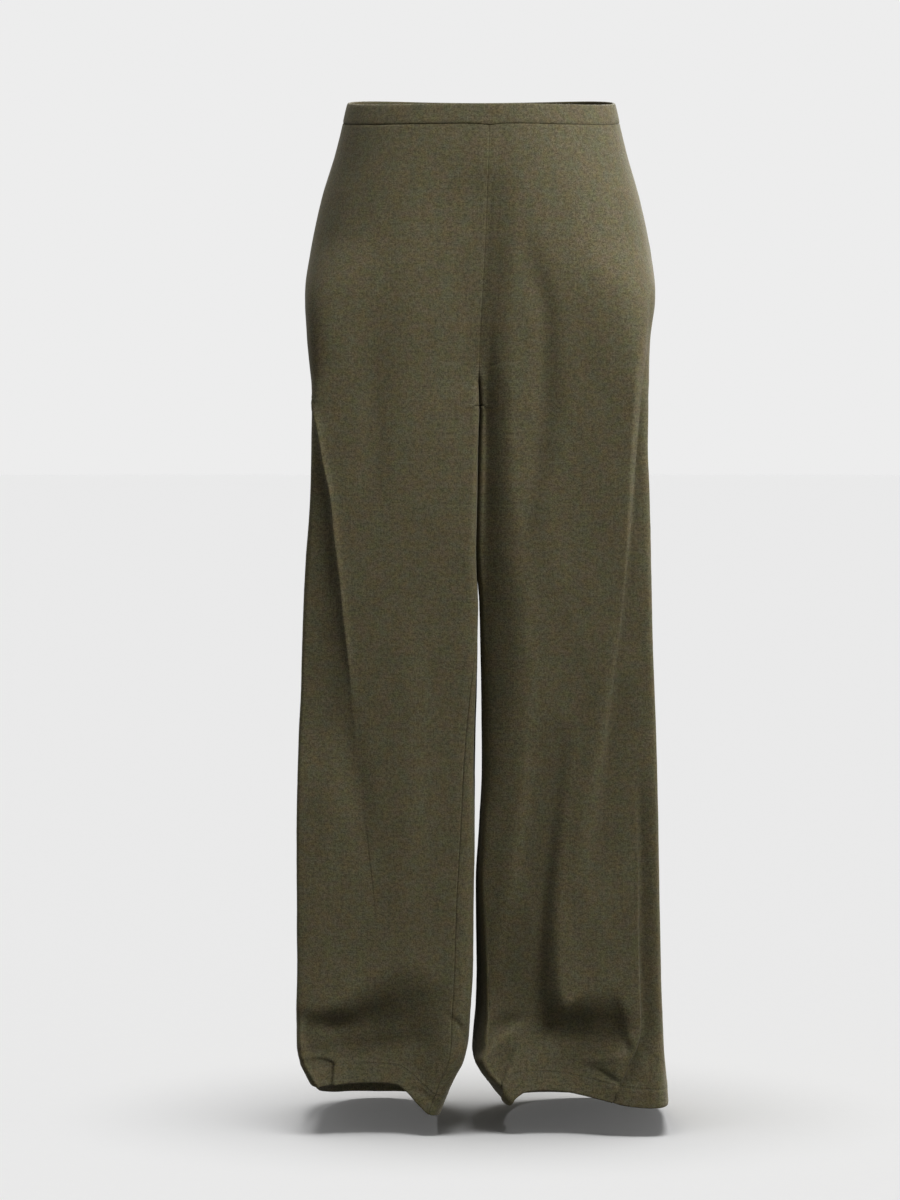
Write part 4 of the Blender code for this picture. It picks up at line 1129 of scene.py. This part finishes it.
def linen_material(name, tone=1.0):
    n = Nodes(name)
    uv = n.tree.nodes.new("ShaderNodeUVMap")
    uv.uv_map = "cloth"
    uv = uv.outputs[0]
    # Yarn-scale unevenness: fine heather, with faint slubs along the weft and the warp.
    heather = n.noise(n.scaled(uv, 640, 700), detail=2.0, rough=0.6)
    weft = n.noise(n.scaled(uv, 120, 1150), detail=2.0, rough=0.6)
    warp = n.noise(n.scaled(uv, 1200, 90), detail=2.0, rough=0.6)
    weft_long = n.noise(n.scaled(uv, 26, 480), detail=1.0)
    warp_long = n.noise(n.scaled(uv, 540, 14), detail=1.0)
    slub = n.noise(n.scaled(uv, 270, 340), detail=1.5, rough=0.6)
    tonal = n.math("ADD", n.math("MULTIPLY", heather, 0.56), n.math("MULTIPLY", weft, 0.14))
    tonal = n.math("MULTIPLY_ADD", n.math("SUBTRACT", slub, 0.5), 0.34, n.math("ADD", tonal, 0.03))
    tonal = n.math("MULTIPLY_ADD", warp, 0.12, tonal)
    tonal = n.math("MULTIPLY_ADD", weft_long, 0.07, tonal)
    tonal = n.math("MULTIPLY_ADD", warp_long, 0.05, tonal)
    tonal = n.spread(tonal, 0.36, 0.64)
    dark = (0.0458 * tone, 0.0384 * tone, 0.0176 * tone, 1.0)
    light = (0.1062 * tone, 0.0920 * tone, 0.0462 * tone, 1.0)
    colour = n.mix(tonal, dark, light)
    # The yarn's own colour drifts between brown, green and bluer olives.
    drift = n.noise(n.scaled(uv, 118, 104), detail=3.0, rough=0.6)
    patches = n.noise(n.scaled(uv, 46, 38), detail=2.0)
    drift = n.math("MULTIPLY_ADD", patches, 0.45, n.math("MULTIPLY", drift, 0.55))
    hue = n.mix(n.spread(drift, 0.36, 0.64), (0.925, 1.026, 1.020, 1.0), (1.075, 0.974, 0.980, 1.0))
    colour = n.mix(1.0, colour, hue, "MULTIPLY")
    drift = n.noise(n.scaled(uv, 84, 131), detail=3.0, rough=0.6)
    hue = n.mix(n.spread(drift, 0.34, 0.66), (1.0, 1.0, 0.86, 1.0), (1.0, 1.0, 1.14, 1.0))
    colour = n.mix(1.0, colour, hue, "MULTIPLY")
    cloud = n.noise(n.scaled(uv, 60, 44), detail=3.0)
    shade = n.spread(cloud, 0.3, 0.7, 0.95, 1.05)
    # Painted light and shade: raised folds are painted lighter and recesses darker, from the cloth's relief.
    lift = n.tree.nodes.new("ShaderNodeAttribute")
    lift.attribute_name = "lift"
    painted_relief_light_and_shade = n.spread(lift.outputs["Fac"], -1.0, 1.0, 0.90, 1.12)
    shade = n.math("MULTIPLY", shade, painted_relief_light_and_shade)
    grey = n.tree.nodes.new("ShaderNodeCombineColor")
    for k in range(3):
        n.link(shade, grey.inputs[k])
    colour = n.mix(1.0, colour, grey.outputs[0], "MULTIPLY")
    n.link(colour, n.shader.inputs["Base Color"])
    rough = n.spread(tonal, 0.0, 1.0, 0.90, 0.74)
    n.link(rough, n.shader.inputs["Roughness"])
    n.shader.inputs["Specular IOR Level"].default_value = 0.25
    n.shader.inputs["Sheen Weight"].default_value = 0.16
    n.shader.inputs["Sheen Roughness"].default_value = 0.45
    n.shader.inputs["Sheen Tint"].default_value = (0.75, 0.70, 0.55, 1.0)
    # Plain weave: the bump goes up and down once over each pair of yarns.
    split = n.tree.nodes.new("ShaderNodeSeparateXYZ")
    n.link(uv, split.inputs[0])
    wobble = n.noise(n.scaled(uv, 220, 220), detail=2.0)
    phase = n.math("MULTIPLY", wobble, 2.2)
    over = n.math("SINE", n.math("MULTIPLY_ADD", split.outputs[0], 2 * np.pi / WARP_PITCH, phase))
    under = n.math("SINE", n.math("MULTIPLY_ADD", split.outputs[1], 2 * np.pi / WEFT_PITCH, phase))
    weave = n.math("MULTIPLY", over, under)
    relief_height = n.math("MULTIPLY_ADD", weave, 0.30, n.math("MULTIPLY", tonal, 0.9))
    normal = n.bump(relief_height, 0.10 * MM, 0.9)
    n.link(normal, n.shader.inputs["Normal"])
    n.material.diffuse_color = (0.068, 0.059, 0.032, 1.0)
    return n.material


def thread_material():
    n = Nodes("thread")
    geometry = n.tree.nodes.new("ShaderNodeTexCoord")
    coarse = n.tree.nodes.new("ShaderNodeTexNoise")
    n.link(geometry.outputs["Object"], coarse.inputs["Vector"])
    coarse.inputs["Scale"].default_value = 900
    colour = n.mix(coarse.outputs["Fac"], (0.050, 0.044, 0.024, 1.0), (0.095, 0.085, 0.050, 1.0))
    n.link(colour, n.shader.inputs["Base Color"])
    n.link(n.spread(coarse.outputs["Fac"], 0.3, 0.7, 0.6, 0.75), n.shader.inputs["Roughness"])
    n.link(n.bump(coarse.outputs["Fac"], 0.06 * MM), n.shader.inputs["Normal"])
    return n.material


def floor_material():
    n = Nodes("floor_paper")
    geometry = n.tree.nodes.new("ShaderNodeTexCoord")
    grain = n.tree.nodes.new("ShaderNodeTexNoise")
    n.link(geometry.outputs["Object"], grain.inputs["Vector"])
    grain.inputs["Scale"].default_value = 60
    colour = n.mix(grain.outputs["Fac"], (0.895, 0.895, 0.895, 1), (0.905, 0.905, 0.905, 1))
    n.link(colour, n.shader.inputs["Base Color"])
    n.shader.inputs["Roughness"].default_value = 1.0
    n.shader.inputs["Specular IOR Level"].default_value = 0.0
    return n.material


# ---- The trousers ---------------------------------------------------------
linen = linen_material("linen", LINEN_TONE)
thread = thread_material()
for side in ("right", "left"):
    for face, count in (("front", FRONT_COLUMNS), ("back", BACK_COLUMNS)):
        points, normal, wall, cloth = panel_grid(side, face, count)
        # The relief is painted into the linen's colour: painted highlight on raised folds, painted shade in
        # recesses.
        raised = np.clip(relief(points, normal) / RELIEF_FULL, -1, 1)
        inner = (points - normal * wall[..., None])[::2, ::2]
        name = f"{face}_leg_{side}_cloth"
        panel = make_shell(name, settle(points), settle(inner), cloth, raised, linen)
        stitches = hem_stitches(f"hem_stitches_{face}_{side}", settle(points), normal, thread)
        for piece in (panel, stitches):
            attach(piece, "root")
        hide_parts(f"{face}_leg_{side}")
for face in ("front", "back"):
    name = f"waistband_{face}_cloth"
    band = make_band(name, face, linen)
    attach(band, "root")
    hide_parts(f"waistband_{face}")


# ---- Stage ----------------------------------------------------------------
def make_stage():
    """A wide round floor."""
    turns = np.linspace(0, 2 * np.pi, FLOOR_TURNS, endpoint=False)
    vertices = [(0.0, 0.0, FLOOR)]
    faces = []
    for ring, radius in enumerate((3.0, 12.0, 45.0)):
        vertices += [(radius * np.cos(a), radius * np.sin(a), FLOOR) for a in turns]
        for k in range(FLOOR_TURNS):
            first = 1 + ring * FLOOR_TURNS + k
            second = 1 + ring * FLOOR_TURNS + (k + 1) % FLOOR_TURNS
            if ring == 0:
                faces.append((0, first, second))
            else:
                faces.append((first - FLOOR_TURNS, first, second, second - FLOOR_TURNS))
    mesh = bpy.data.meshes.new("floor")
    mesh.from_pydata(vertices, [], faces)
    mesh.materials.append(floor_material())
    made = bpy.data.objects.new("floor", mesh)
    bpy.context.scene.collection.objects.link(made)
    made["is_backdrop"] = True
    # The floor is pale to look at, but throws no light on the cloth.
    made.visible_diffuse = False
    made.visible_glossy = False


make_stage()
lit = bpy.data.collections.new("lit_by_the_soft_boxes")
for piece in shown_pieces():
    lit.objects.link(piece)


def add_sun(name, azimuth, elevation, strength, size, only=None):
    """A soft distant light. Azimuth 0 shines from the front, positive from the viewer's right."""
    light = bpy.data.lights.new(name, "SUN")
    light.energy = strength
    light.angle = np.radians(size)
    made = bpy.data.objects.new(name, light)
    bpy.context.scene.collection.objects.link(made)
    made.rotation_euler = (np.radians(90 - elevation), 0.0, np.radians(azimuth))
    if only is not None:
        made.light_linking.receiver_collection = only
    return made


def add_soft_box(name, azimuth, elevation, away, power, size, only):
    """A square lamp that points at the middle plane, KEY_AIM below the waist."""
    light = bpy.data.lights.new(name, "AREA")
    light.shape = "SQUARE"
    light.size = size
    light.energy = power
    light.spread = np.radians(KEY_SPREAD)
    made = bpy.data.objects.new(name, light)
    bpy.context.scene.collection.objects.link(made)
    turn = np.radians(azimuth)
    rise = np.radians(elevation)
    made.location = (
        away * np.cos(rise) * np.sin(turn),
        -away * np.cos(rise) * np.cos(turn),
        away * np.sin(rise) - KEY_AIM,
    )
    made.rotation_euler = (np.radians(90 - elevation), 0.0, turn)
    made.visible_camera = False
    made.light_linking.receiver_collection = only
    return made


add_soft_box("key_light", azimuth=45, elevation=36, away=2.7, power=10.8, size=0.8, only=lit)
add_sun("right_rim", azimuth=100, elevation=12, strength=1.8, size=16, only=lit)
add_sun("back_light", azimuth=165, elevation=32, strength=3.4, size=30, only=lit)
add_sun("top_light", azimuth=0, elevation=88, strength=2.45, size=34)


def make_world():
    """Pale round the horizon, and darker overhead and below."""
    world = bpy.data.worlds.new("studio")
    bpy.context.scene.world = world
    world.use_nodes = True
    tree = world.node_tree
    place = tree.nodes.new("ShaderNodeTexCoord")
    split = tree.nodes.new("ShaderNodeSeparateXYZ")
    tree.links.new(place.outputs["Generated"], split.inputs[0])
    product = tree.nodes.new("ShaderNodeMath")
    product.operation = "MULTIPLY"
    # Height of the line of sight, and the strength that it fades between: overhead, then below.
    fades = ((0.11, 0.30, 0.846, 0.10), (-0.10, -0.03, 0.24, 1.0))
    for k, (low, high, first, last) in enumerate(fades):
        fade = tree.nodes.new("ShaderNodeMapRange")
        fade.interpolation_type = "SMOOTHSTEP"
        fade.inputs["From Min"].default_value = low
        fade.inputs["From Max"].default_value = high
        fade.inputs["To Min"].default_value = first
        fade.inputs["To Max"].default_value = last
        tree.links.new(split.outputs["Z"], fade.inputs["Value"])
        tree.links.new(fade.outputs["Result"], product.inputs[k])
    tree.links.new(product.outputs[0], tree.nodes["Background"].inputs["Strength"])
    tree.nodes["Background"].inputs["Color"].default_value = (1.0, 1.0, 1.0, 1.0)


make_world()
bpy.context.scene.view_settings.view_transform = "Standard"

# ---- Camera ---------------------------------------------------------------
camera = bpy.data.cameras.new("camera")
camera.lens = 130.08
camera.sensor_width = 36.0
camera.clip_start = 0.1
camera.clip_end = 60.0
eye = bpy.data.objects.new("camera", camera)
eye.location = CAMERA_AT
eye.rotation_euler = (np.radians(90 - CAMERA_TILT), 0.0, 0.0)
bpy.context.scene.collection.objects.link(eye)
bpy.context.scene.camera = eye
